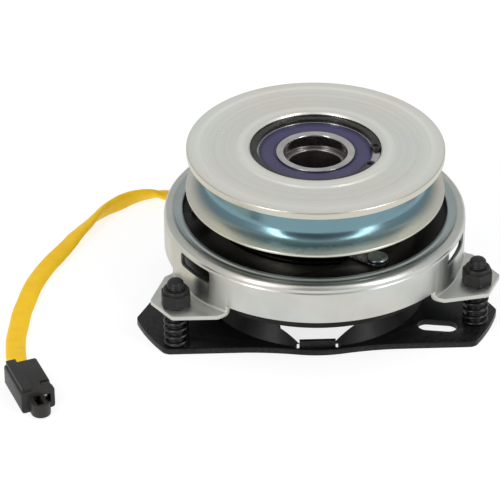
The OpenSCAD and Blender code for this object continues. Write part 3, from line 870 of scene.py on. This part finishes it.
def turned(name, profile, finish, steps=None, arc_steps=4, angle=32.0):
    """A turned piece from its closed profile of (radius, height, corner radius)."""
    outline = rounded(profile, True, arc_steps)
    line = mesh_object(name, [(r, 0, z) for r, z in outline])
    obj = through(line, "lathe", Steps=steps or sizes().lathe_steps, Points=len(outline),
                  Finish=material(finish))
    return shaded(obj, angle, True)


def prism(name, outline, low, high):
    """A straight prism over a flat outline, in millimetres."""
    count = len(outline)
    points = [(x, y, low) for x, y in outline] + [(x, y, high) for x, y in outline]
    faces = [tuple(range(count - 1, -1, -1)), tuple(range(count, 2 * count))]
    faces += [(i, (i + 1) % count, count + (i + 1) % count, count + i) for i in range(count)]
    return shaded(mesh_object(name, points, faces), 30.0, True)


def circle_outline(radius, steps=48, centre=(0.0, 0.0)):
    return [polar(radius, math.tau * i / steps, centre) for i in range(steps)]


def moved(obj, matrix):
    obj.data.transform(matrix)
    return obj


def carved(obj, cutters):
    """obj with each cutter taken away from it."""
    for cutter in cutters:
        boolean = obj.modifiers.new("cut", "BOOLEAN")
        boolean.operation = "DIFFERENCE"
        boolean.solver = "EXACT"
        boolean.object = cutter
    obj = baked(obj)
    for cutter in cutters:
        bpy.data.objects.remove(cutter)
    finishes = [finish for finish in obj.data.materials if finish]
    obj.data.polygons.foreach_set("material_index", [0] * len(obj.data.polygons))
    obj.data.materials.clear()
    for finish in finishes[:1]:
        obj.data.materials.append(finish)
    return obj


def standing_for(obj, node, ride=True):
    """obj stands for a CAD node: it takes the node's body."""
    if ride:
        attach(obj, NODES[node]["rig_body"])
    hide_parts(node)
    return obj


def repaint(node, finish):
    """A CAD node that keeps its shape gets its finish."""
    mesh = NODES[node].data
    mesh.materials.clear()
    mesh.materials.append(material(finish))


# ---------------------------------------------------------------- stage, cord and plug


def facing(heading):
    """Rotation of a camera or a light that looks along a heading."""
    return heading.to_track_quat("-Z", "Y").to_euler()


def build_stage():
    """Camera, soft studio light and the plain floor."""
    scene = bpy.context.scene
    camera = bpy.data.objects.new("camera", bpy.data.cameras.new("camera"))
    scene.collection.objects.link(camera)
    camera.data.sensor_width = 36.0
    camera.data.lens = CAMERA_LENS
    camera.data.clip_end = 50.0
    camera.location = CAMERA_PLACE
    camera.rotation_euler = facing(Vector(CAMERA_HEADING))
    scene.camera = camera
    scene.view_settings.view_transform = "Standard"

    world = bpy.data.worlds.new("studio")
    scene.world = world
    world.use_nodes = True
    tree = world.node_tree
    x, y, z = split(tree, tree.nodes.new("ShaderNodeTexCoord").outputs["Generated"])
    front = plus(tree, times(tree, y, -0.93), times(tree, z, 0.36))
    lit = mixed(tree, mapped(tree, z, 0.1, 0.8), (0.60, 0.605, 0.61), (0.66, 0.665, 0.67))
    glow = mixed(tree, mapped(tree, front, 0.70, 0.97), lit, (0.20, 0.21, 0.22))
    background = tree.nodes["Background"]
    tree.links.new(glow, background.inputs["Color"])
    background.inputs["Strength"].default_value = 1.0

    for name, place in (
        ("strip_left", Vector((-0.98, -1.02, 0.8))),
        ("strip_right", Vector((1.06, -0.92, 0.8))),
    ):
        light = bpy.data.lights.new(name, "AREA")
        light.shape = "RECTANGLE"
        light.size, light.size_y = STRIP_SIZE
        light.energy = STRIP_POWER
        lamp = bpy.data.objects.new(name, light)
        lamp.location = place
        lamp.rotation_euler = facing(Vector(STRIP_AIM) - place)
        scene.collection.objects.link(lamp)

    corners = [(-1, -1), (1, -1), (1, 1), (-1, 1)]
    floor = mesh_object("floor", [(x * FLOOR_REACH, y * FLOOR_REACH, FLOOR_Z) for x, y in corners],
                        [(0, 1, 2, 3)], finish="floor_finish")


def smooth_route(points, steps):
    """The route with steps points on each stretch, through every given point."""
    out = []
    last = len(points) - 1
    for i in range(last):
        a, b = points[max(i - 1, 0)], points[i]
        c, d = points[i + 1], points[min(i + 2, last)]
        for k in range(steps):
            t = k / steps
            out.append(tuple(
                0.5 * (2 * q + (r - p) * t + (2 * p - 5 * q + 4 * r - s) * t * t
                       + (3 * q - p - 3 * r + s) * t * t * t)
                for p, q, r, s in zip(a, b, c, d)
            ))
    out.append(tuple(points[last]))
    return out


def build_lead_sleeve():
    """The flat sleeve round the coil's lead, along the route that the CAD gives it."""
    stops = smooth_route(SLEEVE_ROUTE, 4)
    centres = [Vector(s[:3]) for s in stops]
    wide_half = sizes().sleeve_width / MM / 2
    thin_half = sizes().sleeve_thickness / MM / 2
    flat = wide_half - thin_half
    around = SLEEVE_SIDES
    points, uvs = [], []
    run = 0.0
    for i, stop in enumerate(stops):
        here = centres[i]
        ahead, behind = centres[min(i + 1, len(centres) - 1)], centres[max(i - 1, 0)]
        if i:
            run += (here - centres[i - 1]).length
        tangent = (ahead - behind).normalized()
        side = Vector((0, 0, 1)).cross(tangent).normalized()
        up = tangent.cross(side)
        roll = math.radians(stop[3])
        wide = side * math.cos(roll) + up * math.sin(roll)
        thin = up * math.cos(roll) - side * math.sin(roll)
        crease = 0.14 * math.sin(run * 0.23) + 0.10 * math.sin(run * 0.71 + 1.0)
        twist = max(0.0, math.sin(roll * 1.05)) * 0.22
        for k in range(around):
            a = math.tau * k / around
            cs, sn = math.cos(a), math.sin(a)
            u = flat * max(-1.0, min(1.0, 2.2 * cs)) + thin_half * cs * abs(cs)
            dip = (1.0 - min(1.0, abs(u) / wide_half) ** 2) * (0.22 + twist + 0.35 * abs(crease))
            v = thin_half * (1.0 - 0.5 * abs(cs) ** 3) - dip
            v *= abs(sn) ** 0.55 * (1 if sn >= 0 else -1)
            v += crease * 0.5 * math.sin(2.4 * u / wide_half + run * 0.11)
            points.append(here + wide * u + thin * max(-thin_half, min(thin_half, v)))
            uvs.append((k / around, run * MM))
    faces = band_faces(len(stops), around)
    faces.append(tuple(range(around - 1, -1, -1)))
    last = (len(stops) - 1) * around
    faces.append(tuple(last + k for k in range(around)))
    sleeve = mesh_object("lead_sleeve_flat", points, faces, finish="sleeve_vinyl")
    layer = sleeve.data.uv_layers.new(name="along")
    for face in sleeve.data.polygons:
        spots = [uvs[v] for v in face.vertices]
        wraps = max(u for u, _ in spots) - min(u for u, _ in spots) > 0.5
        for loop, (u, v) in zip(face.loop_indices, spots):
            layer.data[loop].uv = (u + 1.0 if wraps and u < 0.5 else u, v)
    shaded(sleeve, 60.0)
    standing_for(sleeve, "lead_sleeve")


def build_plug():
    """The two-way plug on the lead's end."""
    softened("plug_housing", "plug_body", "plug_plastic", 0.55, segments=3)
    softened("plug_lock", "plug_latch", "lock_plastic", 0.2)
    softened("plug_terminals", "plug_contacts", "terminal_metal", 0.15)


# ---------------------------------------------------------------- field


def build_field_plate():
    """The black mounting plate."""
    softened("field_plate", "mounting_plate", "black_paint", 0.5, 30.0, 3)


def build_field_coil():
    """Field shell, bobbin, winding, resin, leads and grommet."""
    softened("field_shell", "coil_shell", "coil_steel", 0.5)
    softened("coil_bobbin", "coil_spool", "bobbin_plastic", 0.2)
    softened("coil_potting", "coil_resin", "potting_resin", 0.2)
    softened("lead_grommet", "lead_outlet", "grommet_rubber", 0.4)
    repaint("coil_winding", "copper_wire")
    repaint("coil_leads", "lead_rubber")


def threaded_rod(name, radius, low, high, pitch, depth):
    """A rod along Z with a helical thread and a domed end, in millimetres."""
    around, per_turn = 24, 8
    rows = int((high - low) / pitch * per_turn)
    points = []
    for i in range(rows + 1):
        z = low + (high - low) * i / rows
        taper = radius - max(0.0, z - (high - 0.9)) * 0.9
        for k in range(around):
            wave = 0.5 - 0.5 * math.cos(math.tau * (z / pitch - k / around))
            r = min(radius - depth * wave, taper)
            points.append((*polar(r, math.tau * k / around), z))
    for share, rise in ((0.75, 0.16), (0.4, 0.26)):
        dome = circle_outline(radius * 0.8 * share, around)
        points += [(x, y, high + rise) for x, y in dome]
    total = rows + 3
    faces = band_faces(total, around)
    faces.append(tuple(range(around - 1, -1, -1)))
    points.append((0, 0, high + 0.29))
    top = (total - 1) * around
    faces += [(top + k, top + (k + 1) % around, len(points) - 1) for k in range(around)]
    return mesh_object(name, points, faces)


def build_studs():
    """Three threaded studs fixed in the plate."""
    rod = threaded_rod("plate_studs", 3.98, -0.98, STUD_TOP - 0.3,
                       sizes().thread_pitch / MM, 0.42)
    studs = copied_round(rod, STUD_CIRCLE, STUD_AZIMUTHS, "black_oxide")
    standing_for(shaded(studs, 50.0, True), "studs")


def build_brake_springs():
    """Three coil springs with closed ends."""
    turns, wire = sizes().spring_turns, sizes().spring_wire / MM
    steps = int(28 * turns)
    low, rise = PLATE_TOP + wire, TAB_Z - PLATE_TOP - 2 * wire
    points = []
    for i in range(steps + 1):
        t = i / steps
        if t < CLOSED_COIL:
            eased = t * 0.35
        elif t > 1 - CLOSED_COIL:
            eased = 1 - (1 - t) * 0.35
        else:
            eased = 0.042 + (t - CLOSED_COIL) * 0.916 / 0.76
        points.append((*polar(SPRING_RADIUS, math.tau * turns * t), low + rise * eased))
    line = mesh_object("coil_springs", points, edges=[(i, i + 1) for i in range(steps)])
    spring = through(line, "swept_wire", Wire_Radius=wire * MM, Sides=12,
                     Finish=material("spring_steel"))
    springs = copied_round(spring, STUD_CIRCLE, STUD_AZIMUTHS, "spring_steel")
    shaded(springs, 50.0)
    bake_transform(springs)
    standing_for(springs, "brake_springs", ride=False)


# ---------------------------------------------------------------- brake


def tab_side(azimuth, sign):
    """Outline of one side of a brake tab, from its end to its root."""
    local = [(-0.6 * sign, -91, 0), (8.6 * sign, -91, 2.0), (21 * sign, -73.5, 3.0),
             (21 * sign, -63.6, 0)]
    a = math.radians(azimuth)
    return [
        (x * math.cos(a) - y * math.sin(a), x * math.sin(a) + y * math.cos(a))
        for x, y in rounded(local, False, 5)
    ]


def tab_gap_cutter(azimuth):
    """What is cut away between the tab at this azimuth and the next one."""
    near, far = tab_side(azimuth, 1), tab_side(azimuth + 120, -1)
    a0 = math.atan2(near[-1][1], near[-1][0])
    a1 = math.atan2(far[-1][1], far[-1][0])
    a1 += math.tau if a1 < a0 else 0.0
    inner = [polar(67, a0 + (a1 - a0) * k / 40) for k in range(1, 40)]
    outer = [at_azimuth(azimuth - 0.4 + 120.8 * k / 40, 104) for k in range(41)]
    outline = near + inner + far[::-1] + outer[::-1]
    cutter = prism("tab_gap", outline, TAB_Z - 3, 27.9)
    work = bmesh.new()
    work.from_mesh(cutter.data)
    corners = []
    for edge in work.edges:
        a, b = (v.co / MM for v in edge.verts)
        middle = (a + b) / 2
        along = (a - b).xy.length
        if a.z > 27.8 and b.z > 27.8 and 64 < middle.xy.length < 76 and 6 < along < 12:
            corners.append(edge)
    bmesh.ops.bevel(work, geom=corners, offset=2.2 * MM, segments=5, profile=0.5,
                    affect="EDGES", clamp_overlap=True)
    work.to_mesh(cutter.data)
    work.free()
    return cutter


def build_brake_ring():
    """The pressed brake ring, with its tabs, stud holes and gauge windows."""
    profile = [
        (63, 45, 0.5), (63, 47, 0.7), (64.4, 47, 0.6), (65.6, 46.55, 0.6), (67, 46.55, 0.5),
        (68.4, 46.95, 1.2), (70.6, 46.9, 1.6), (71.75, 45.4, 1.2), (71.65, 43.9, 0.3),
        (72, 43.1, 0.5), (72, TAB_TOP, 1.4), (94, TAB_TOP, 0), (94, TAB_Z, 0),
        (70, TAB_Z, 3.2), (70, 45, 1.8),
    ]
    ring = turned("brake_ring", profile, "zinc_sheet", 300, 6)
    cutters = [tab_gap_cutter(a) for a in STUD_AZIMUTHS]
    window = rounded([(-11, 36, 2.2), (11, 36, 2.2), (11, 43, 2.2), (-11, 43, 2.2)], True, 6)
    upright = Matrix.Rotation(math.radians(90), 4, "X")
    for azimuth in STUD_AZIMUTHS:
        x, y = at_azimuth(azimuth, STUD_CIRCLE)
        cutters.append(prism("stud_hole", circle_outline(4.3, 40, (x, y)), 20, 28))
        hole = prism("gauge_window", window, 62, 80)
        cutters.append(moved(hole, Matrix.Rotation(math.radians(azimuth), 4, "Z") @ upright))
    ring = shaded(carved(ring, cutters), 32.0, True)
    standing_for(beveled(ring, 0.28, 40.0), "brake_plate")


def hex_nut(name):
    """A lock nut with chamfered corners and a round collar, its seat at z = 0."""
    around = 96
    apothem = 6.5

    def hexagon(k):
        a = math.tau * k / around
        off = (a + math.pi / 6) % (math.pi / 3) - math.pi / 6
        return min(apothem / math.cos(off), 7.38)

    rows = [(4.15, 0.35), (4.5, 0.0), (6.3, 0.0)]
    rows += [(6.45 + 1.9 * z, z) for z in (0.05, 0.2, 0.4)]
    rows += [(9.0, 0.7), (9.0, 3.0), (9.0, 5.4)]
    rows += [(6.5 + (6.4 - z) * 1.75, z) for z in (5.75, 5.95, 6.1, 6.22, 6.32, 6.4)]
    rows += [(6.12, 6.42), (5.98, 6.55), (5.95, 7.4), (5.85, 7.85), (5.6, 8.14), (5.2, 8.27),
             (4.7, 8.3), (4.2, 8.2), (4.12, 8.0)]
    points = []
    for r, z in rows:
        for k in range(around):
            reach = min(r, hexagon(k)) if 0.0 < z < 6.41 else r
            points.append((*polar(reach, math.tau * k / around), z))
    return mesh_object(name, points, band_faces(len(rows), around, closed=True))


def build_lock_nuts():
    """One hex lock nut on each stud."""
    for name, azimuth in zip(NUT_NAMES, STUD_AZIMUTHS):
        nut = moved(hex_nut("hex_nut_" + name), Matrix.Translation((0, 0, TAB_TOP * MM)))
        nut = copied_round(nut, STUD_CIRCLE, (azimuth,), "black_oxide")
        standing_for(shaded(nut, 28.0, True), "lock_nut_" + name)
        repaint("nut_insert_" + name, "insert_nylon")


# ---------------------------------------------------------------- pulley and armature


def build_pulley():
    """The pulley, with the shallow steps turned in its top face."""
    slope = math.tan(math.radians(17))
    up_floor = 76.7 - 9.5 * slope
    low_floor = 57.9 + 9.9 * slope
    profile = [
        (28, 45.9, 0.4), (46, 45.9, 0.6), (46, 55.1, 1.2), (47.5, 56.6, 0.8),
        (61.4, 56.6, 0.4), (61.4, 57.9, 0.4), (51.5, low_floor, 9.0), (51.5, up_floor, 4.0),
        (61, 76.7, 0.5), (61, 80.2, 1.0), (59.2, 80.14, 0.3), (56.0, 80.2, 0.5),
        (55.1, 79.72, 0.7), (49.3, 79.72, 0.7), (48.4, 79.22, 0.7), (38, 79.22, 0.7),
        (37, 80.02, 0.7), (31.9, 80.02, 0.4), (31, 79.2, 0.3), (31, 78.6, 0.1),
        (32.7, 78.6, 0.1), (32.7, 77, 0.1), (31, 77, 0.1), (31, 61, 0.1), (28, 61, 0.2),
    ]
    standing_for(turned("belt_pulley", profile, "zinc_pulley", arc_steps=5), "pulley")
    rivet = turned("strap_rivets", [(0, 43.1, 0), (4.3, 43.1, 0.4), (4.3, 44.9, 0.2),
                                    (2.5, 44.9, 0.1), (2.5, 52.8, 0.3), (0, 52.8, 0)],
                   "rivet_steel", 40)
    moved(rivet, Matrix.Translation(Vector((*LEAF_RUN, 0)) * MM))
    rivets = copied_round(rivet, RIVET_CIRCLE, RIVET_AZIMUTHS, "rivet_steel")
    standing_for(shaded(rivets, 32.0, True), "pulley_rivets")


def race_profile(b, inner):
    """Section of a bearing's inner or outer race, with the groove that the balls run in."""
    land = b["inner_land"] if inner else b["outer_land"]
    far = b["bore"] if inner else b["outside"]
    middle = b["z"] + b["width"] / 2
    groove = b["ball"] + 0.08
    reach = abs(b["pitch"] - land)
    half = math.acos(reach / groove)
    sign = -1 if inner else 1
    arc = []
    for k in range(9):
        a = -half + 2 * half * k / 8
        arc.append((b["pitch"] + sign * groove * math.cos(a), middle + groove * math.sin(a), 0))
    low, high = b["z"], b["z"] + b["width"]
    return [(far, low, 0.9), (land, low, 0.3), *arc, (land, high, 0.3), (far, high, 0.9)]


def seal_profiles(b):
    """Sections of a bearing's two rubber seals, each with a lip by the inner race."""
    out = []
    for face, sign in ((b["z"] + b["width"] - 0.5, 1), (b["z"] + 0.5, -1)):
        a, c = b["inner_land"] + 0.15, b["outer_land"]
        out.append([
            (a, face - 0.75 * sign, 0.1), (a, face - 0.5 * sign, 0.1),
            (a + 0.8, face - 0.45 * sign, 0.15), (a + 1.15, face - 0.06 * sign, 0.2),
            (c - 1.5, face, 0.2), (c - 1.0, face - 0.3 * sign, 0.15),
            (c - 0.35, face - 0.3 * sign, 0.1), (c, face - 0.15 * sign, 0.05),
            (c, face - 0.8 * sign, 0.05),
        ])
    return out


def joined(name, parts):
    """Several objects with one finish as one piece."""
    work = bmesh.new()
    for part in parts:
        work.from_mesh(part.data)
    mesh = bpy.data.meshes.new(name)
    work.to_mesh(mesh)
    work.free()
    for finish in parts[0].data.materials:
        mesh.materials.append(finish)
    for part in parts:
        bpy.data.objects.remove(part)
    return new_object(name, mesh)


def build_bearing(prefix, b):
    """A ball bearing's races, seals, balls and cage."""
    inner = turned(prefix + "_race_in", race_profile(b, True), "race_steel", 192)
    outer = turned(prefix + "_race_out", race_profile(b, False), "race_steel", 192)
    standing_for(inner, prefix + "_inner")
    standing_for(outer, prefix + "_outer")
    seals = [turned("seal_part", section, "seal_rubber", 192) for section in seal_profiles(b)]
    standing_for(shaded(joined(prefix + "_shields", seals), 32.0), prefix + "_seals")
    repaint(prefix + "_balls", "ball_steel")
    softened(prefix + "_cage", prefix + "_ball_cage", "cage_steel", 0.12)


def build_snap_ring():
    """The black snap ring that holds the bearing in the pulley."""
    softened("snap_ring", "retaining_ring", "snap_steel", 0.22)


def leaf_strap(name, azimuth):
    """One leaf spring strap from its armature rivet to its pulley rivet."""
    run = Vector(LEAF_RUN)
    heading = math.atan2(run.y, run.x)
    outline = []
    for centre, start in (((0, 0), heading + math.pi / 2), (run, heading - math.pi / 2)):
        outline += [polar(5, start + math.pi * k / 16, centre) for k in range(17)]
    strap = prism(name, outline, 44.9, 45.9)
    holes = [prism("hole", circle_outline(2.5, 28, c), 44, 47) for c in ((0, 0), run)]
    strap = carved(strap, holes)
    strap.data.materials.append(material("strap_steel"))
    strap = beveled(shaded(strap, 30.0, True), 0.2, 40.0)
    x, y = at_azimuth(azimuth, RIVET_CIRCLE)
    turn = Matrix.Rotation(math.radians(azimuth), 4, "Z")
    moved(strap, Matrix.Translation((x * MM, y * MM, 0)) @ turn)
    end = turn @ Vector((*LEAF_RUN, 0)) * MM + Vector((x * MM, y * MM, 0))
    return strap, (x * MM, y * MM, 0.0454), (end.x, end.y, 0.0454)


def build_armature():
    """Armature plate, its rivets and the leaf springs that hold it to the pulley."""
    softened("armature_plate", "armature_disc", "armature_steel", 0.45)
    profile = [(0, 39.1, 0), (2.5, 39.1, 0.3), (2.5, 45.9, 0), (4.9, 45.9, 0.3),
               (4.85, 47.3, 0.5), (4.35, 47.9, 0.4), (3.6, 47.72, 0.4), (0, 47.72, 0)]
    rivets = copied_round(turned("armature_studs", profile, "rivet_steel", 48),
                          RIVET_CIRCLE, RIVET_AZIMUTHS, "rivet_steel")
    standing_for(shaded(rivets, 32.0, True), "armature_rivets")
    for number, azimuth in enumerate(RIVET_AZIMUTHS, 1):
        strap, at_armature, at_pulley = leaf_strap("leaf_strap_%d" % number, azimuth)
        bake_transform(strap)
        standing_for(strap, "leaf_springs", ride=False)


# ---------------------------------------------------------------- rotor


def build_rotor():
    """Keyed hub, slotted disc and friction ring."""
    softened("rotor_hub", "shaft_hub", "hub_steel", 0.35)
    softened("rotor_disc", "rotor_plate", "rotor_steel", 0.4)
    softened("rotor_lining", "friction_ring", "friction_lining", 0.15)


# ---------------------------------------------------------------- operators and panel


class Undoable:
    """What every step of the build shares"""

    bl_options = {"REGISTER", "UNDO"}


class CLUTCH_OT_stage(Undoable, bpy.types.Operator):
    """Camera, soft studio light and the plain floor"""

    bl_idname = "clutch.stage"
    bl_label = "Stage"

    def execute(self, context):
        build_stage()
        return {"FINISHED"}


class CLUTCH_OT_plug(Undoable, bpy.types.Operator):
    """The two-way plug on the lead's end"""

    bl_idname = "clutch.plug"
    bl_label = "Plug"

    def execute(self, context):
        build_plug()
        return {"FINISHED"}


class CLUTCH_OT_lead_sleeve(Undoable, bpy.types.Operator):
    """The flat yellow sleeve of the coil's lead"""

    bl_idname = "clutch.lead_sleeve"
    bl_label = "Lead Sleeve"

    def execute(self, context):
        build_lead_sleeve()
        return {"FINISHED"}


class CLUTCH_OT_field_plate(Undoable, bpy.types.Operator):
    """The black mounting plate with its two ears"""

    bl_idname = "clutch.field_plate"
    bl_label = "Mounting Plate"

    def execute(self, context):
        build_field_plate()
        return {"FINISHED"}


class CLUTCH_OT_field_coil(Undoable, bpy.types.Operator):
    """The coil in its shell, with its leads and grommet"""

    bl_idname = "clutch.field_coil"
    bl_label = "Field Coil"

    def execute(self, context):
        build_field_coil()
        return {"FINISHED"}


class CLUTCH_OT_field_bearing(Undoable, bpy.types.Operator):
    """The bearing between the field and the rotor"""

    bl_idname = "clutch.field_bearing"
    bl_label = "Field Bearing"

    def execute(self, context):
        build_bearing("field_bearing", FIELD_BEARING)
        return {"FINISHED"}


class CLUTCH_OT_studs(Undoable, bpy.types.Operator):
    """The three threaded studs in the plate"""

    bl_idname = "clutch.studs"
    bl_label = "Studs"

    def execute(self, context):
        build_studs()
        return {"FINISHED"}


class CLUTCH_OT_brake_springs(Undoable, bpy.types.Operator):
    """The three coil springs round the studs"""

    bl_idname = "clutch.brake_springs"
    bl_label = "Brake Springs"

    def execute(self, context):
        build_brake_springs()
        return {"FINISHED"}


class CLUTCH_OT_rotor(Undoable, bpy.types.Operator):
    """Keyed hub, slotted disc and friction ring"""

    bl_idname = "clutch.rotor"
    bl_label = "Rotor"

    def execute(self, context):
        build_rotor()
        return {"FINISHED"}


class CLUTCH_OT_brake_ring(Undoable, bpy.types.Operator):
    """The pressed brake ring with its three tabs"""

    bl_idname = "clutch.brake_ring"
    bl_label = "Brake Ring"

    def execute(self, context):
        build_brake_ring()
        return {"FINISHED"}


class CLUTCH_OT_lock_nuts(Undoable, bpy.types.Operator):
    """The hex lock nut on each stud"""

    bl_idname = "clutch.lock_nuts"
    bl_label = "Lock Nuts"

    def execute(self, context):
        build_lock_nuts()
        return {"FINISHED"}


class CLUTCH_OT_armature(Undoable, bpy.types.Operator):
    """Armature, its rivets and the leaf springs"""

    bl_idname = "clutch.armature"
    bl_label = "Armature"

    def execute(self, context):
        build_armature()
        return {"FINISHED"}


class CLUTCH_OT_pulley(Undoable, bpy.types.Operator):
    """The belt pulley and its rivets"""

    bl_idname = "clutch.pulley"
    bl_label = "Pulley"

    def execute(self, context):
        build_pulley()
        return {"FINISHED"}


class CLUTCH_OT_pulley_bearing(Undoable, bpy.types.Operator):
    """The bearing inside the pulley"""

    bl_idname = "clutch.pulley_bearing"
    bl_label = "Pulley Bearing"

    def execute(self, context):
        build_bearing("pulley_bearing", PULLEY_BEARING)
        return {"FINISHED"}


class CLUTCH_OT_snap_ring(Undoable, bpy.types.Operator):
    """The snap ring that holds the pulley's bearing"""

    bl_idname = "clutch.snap_ring"
    bl_label = "Snap Ring"

    def execute(self, context):
        build_snap_ring()
        return {"FINISHED"}


OPERATORS = (
    CLUTCH_OT_stage,
    CLUTCH_OT_plug,
    CLUTCH_OT_lead_sleeve,
    CLUTCH_OT_field_plate,
    CLUTCH_OT_field_coil,
    CLUTCH_OT_field_bearing,
    CLUTCH_OT_studs,
    CLUTCH_OT_brake_springs,
    CLUTCH_OT_rotor,
    CLUTCH_OT_brake_ring,
    CLUTCH_OT_lock_nuts,
    CLUTCH_OT_armature,
    CLUTCH_OT_pulley,
    CLUTCH_OT_pulley_bearing,
    CLUTCH_OT_snap_ring,
)


class CLUTCH_PT_build(bpy.types.Panel):
    """Lists the clutch's sizes, colours and pieces"""

    bl_label = "Electromagnetic Clutch"
    bl_idname = "CLUTCH_PT_build"
    bl_space_type = "VIEW_3D"
    bl_region_type = "UI"
    bl_category = "Clutch"

    def draw(self, context):
        for group in (context.scene.clutch_sizes, context.scene.clutch_colours):
            box = self.layout.box()
            for name in group.__annotations__:
                box.prop(group, name)
        for item in OPERATORS:
            self.layout.operator(item.bl_idname)


CLASSES = (ClutchSizes, ClutchColours, *OPERATORS, CLUTCH_PT_build)


def register():
    for cls in CLASSES:
        bpy.utils.register_class(cls)
    bpy.types.Scene.clutch_sizes = PointerProperty(type=ClutchSizes)
    bpy.types.Scene.clutch_colours = PointerProperty(type=ClutchColours)


def unregister():
    del bpy.types.Scene.clutch_colours
    del bpy.types.Scene.clutch_sizes
    for cls in reversed(CLASSES):
        bpy.utils.unregister_class(cls)


def main():
    register()
    for item in OPERATORS:
        getattr(bpy.ops.clutch, item.bl_idname.split(".")[1])()


if __name__ == "__main__":
    main()
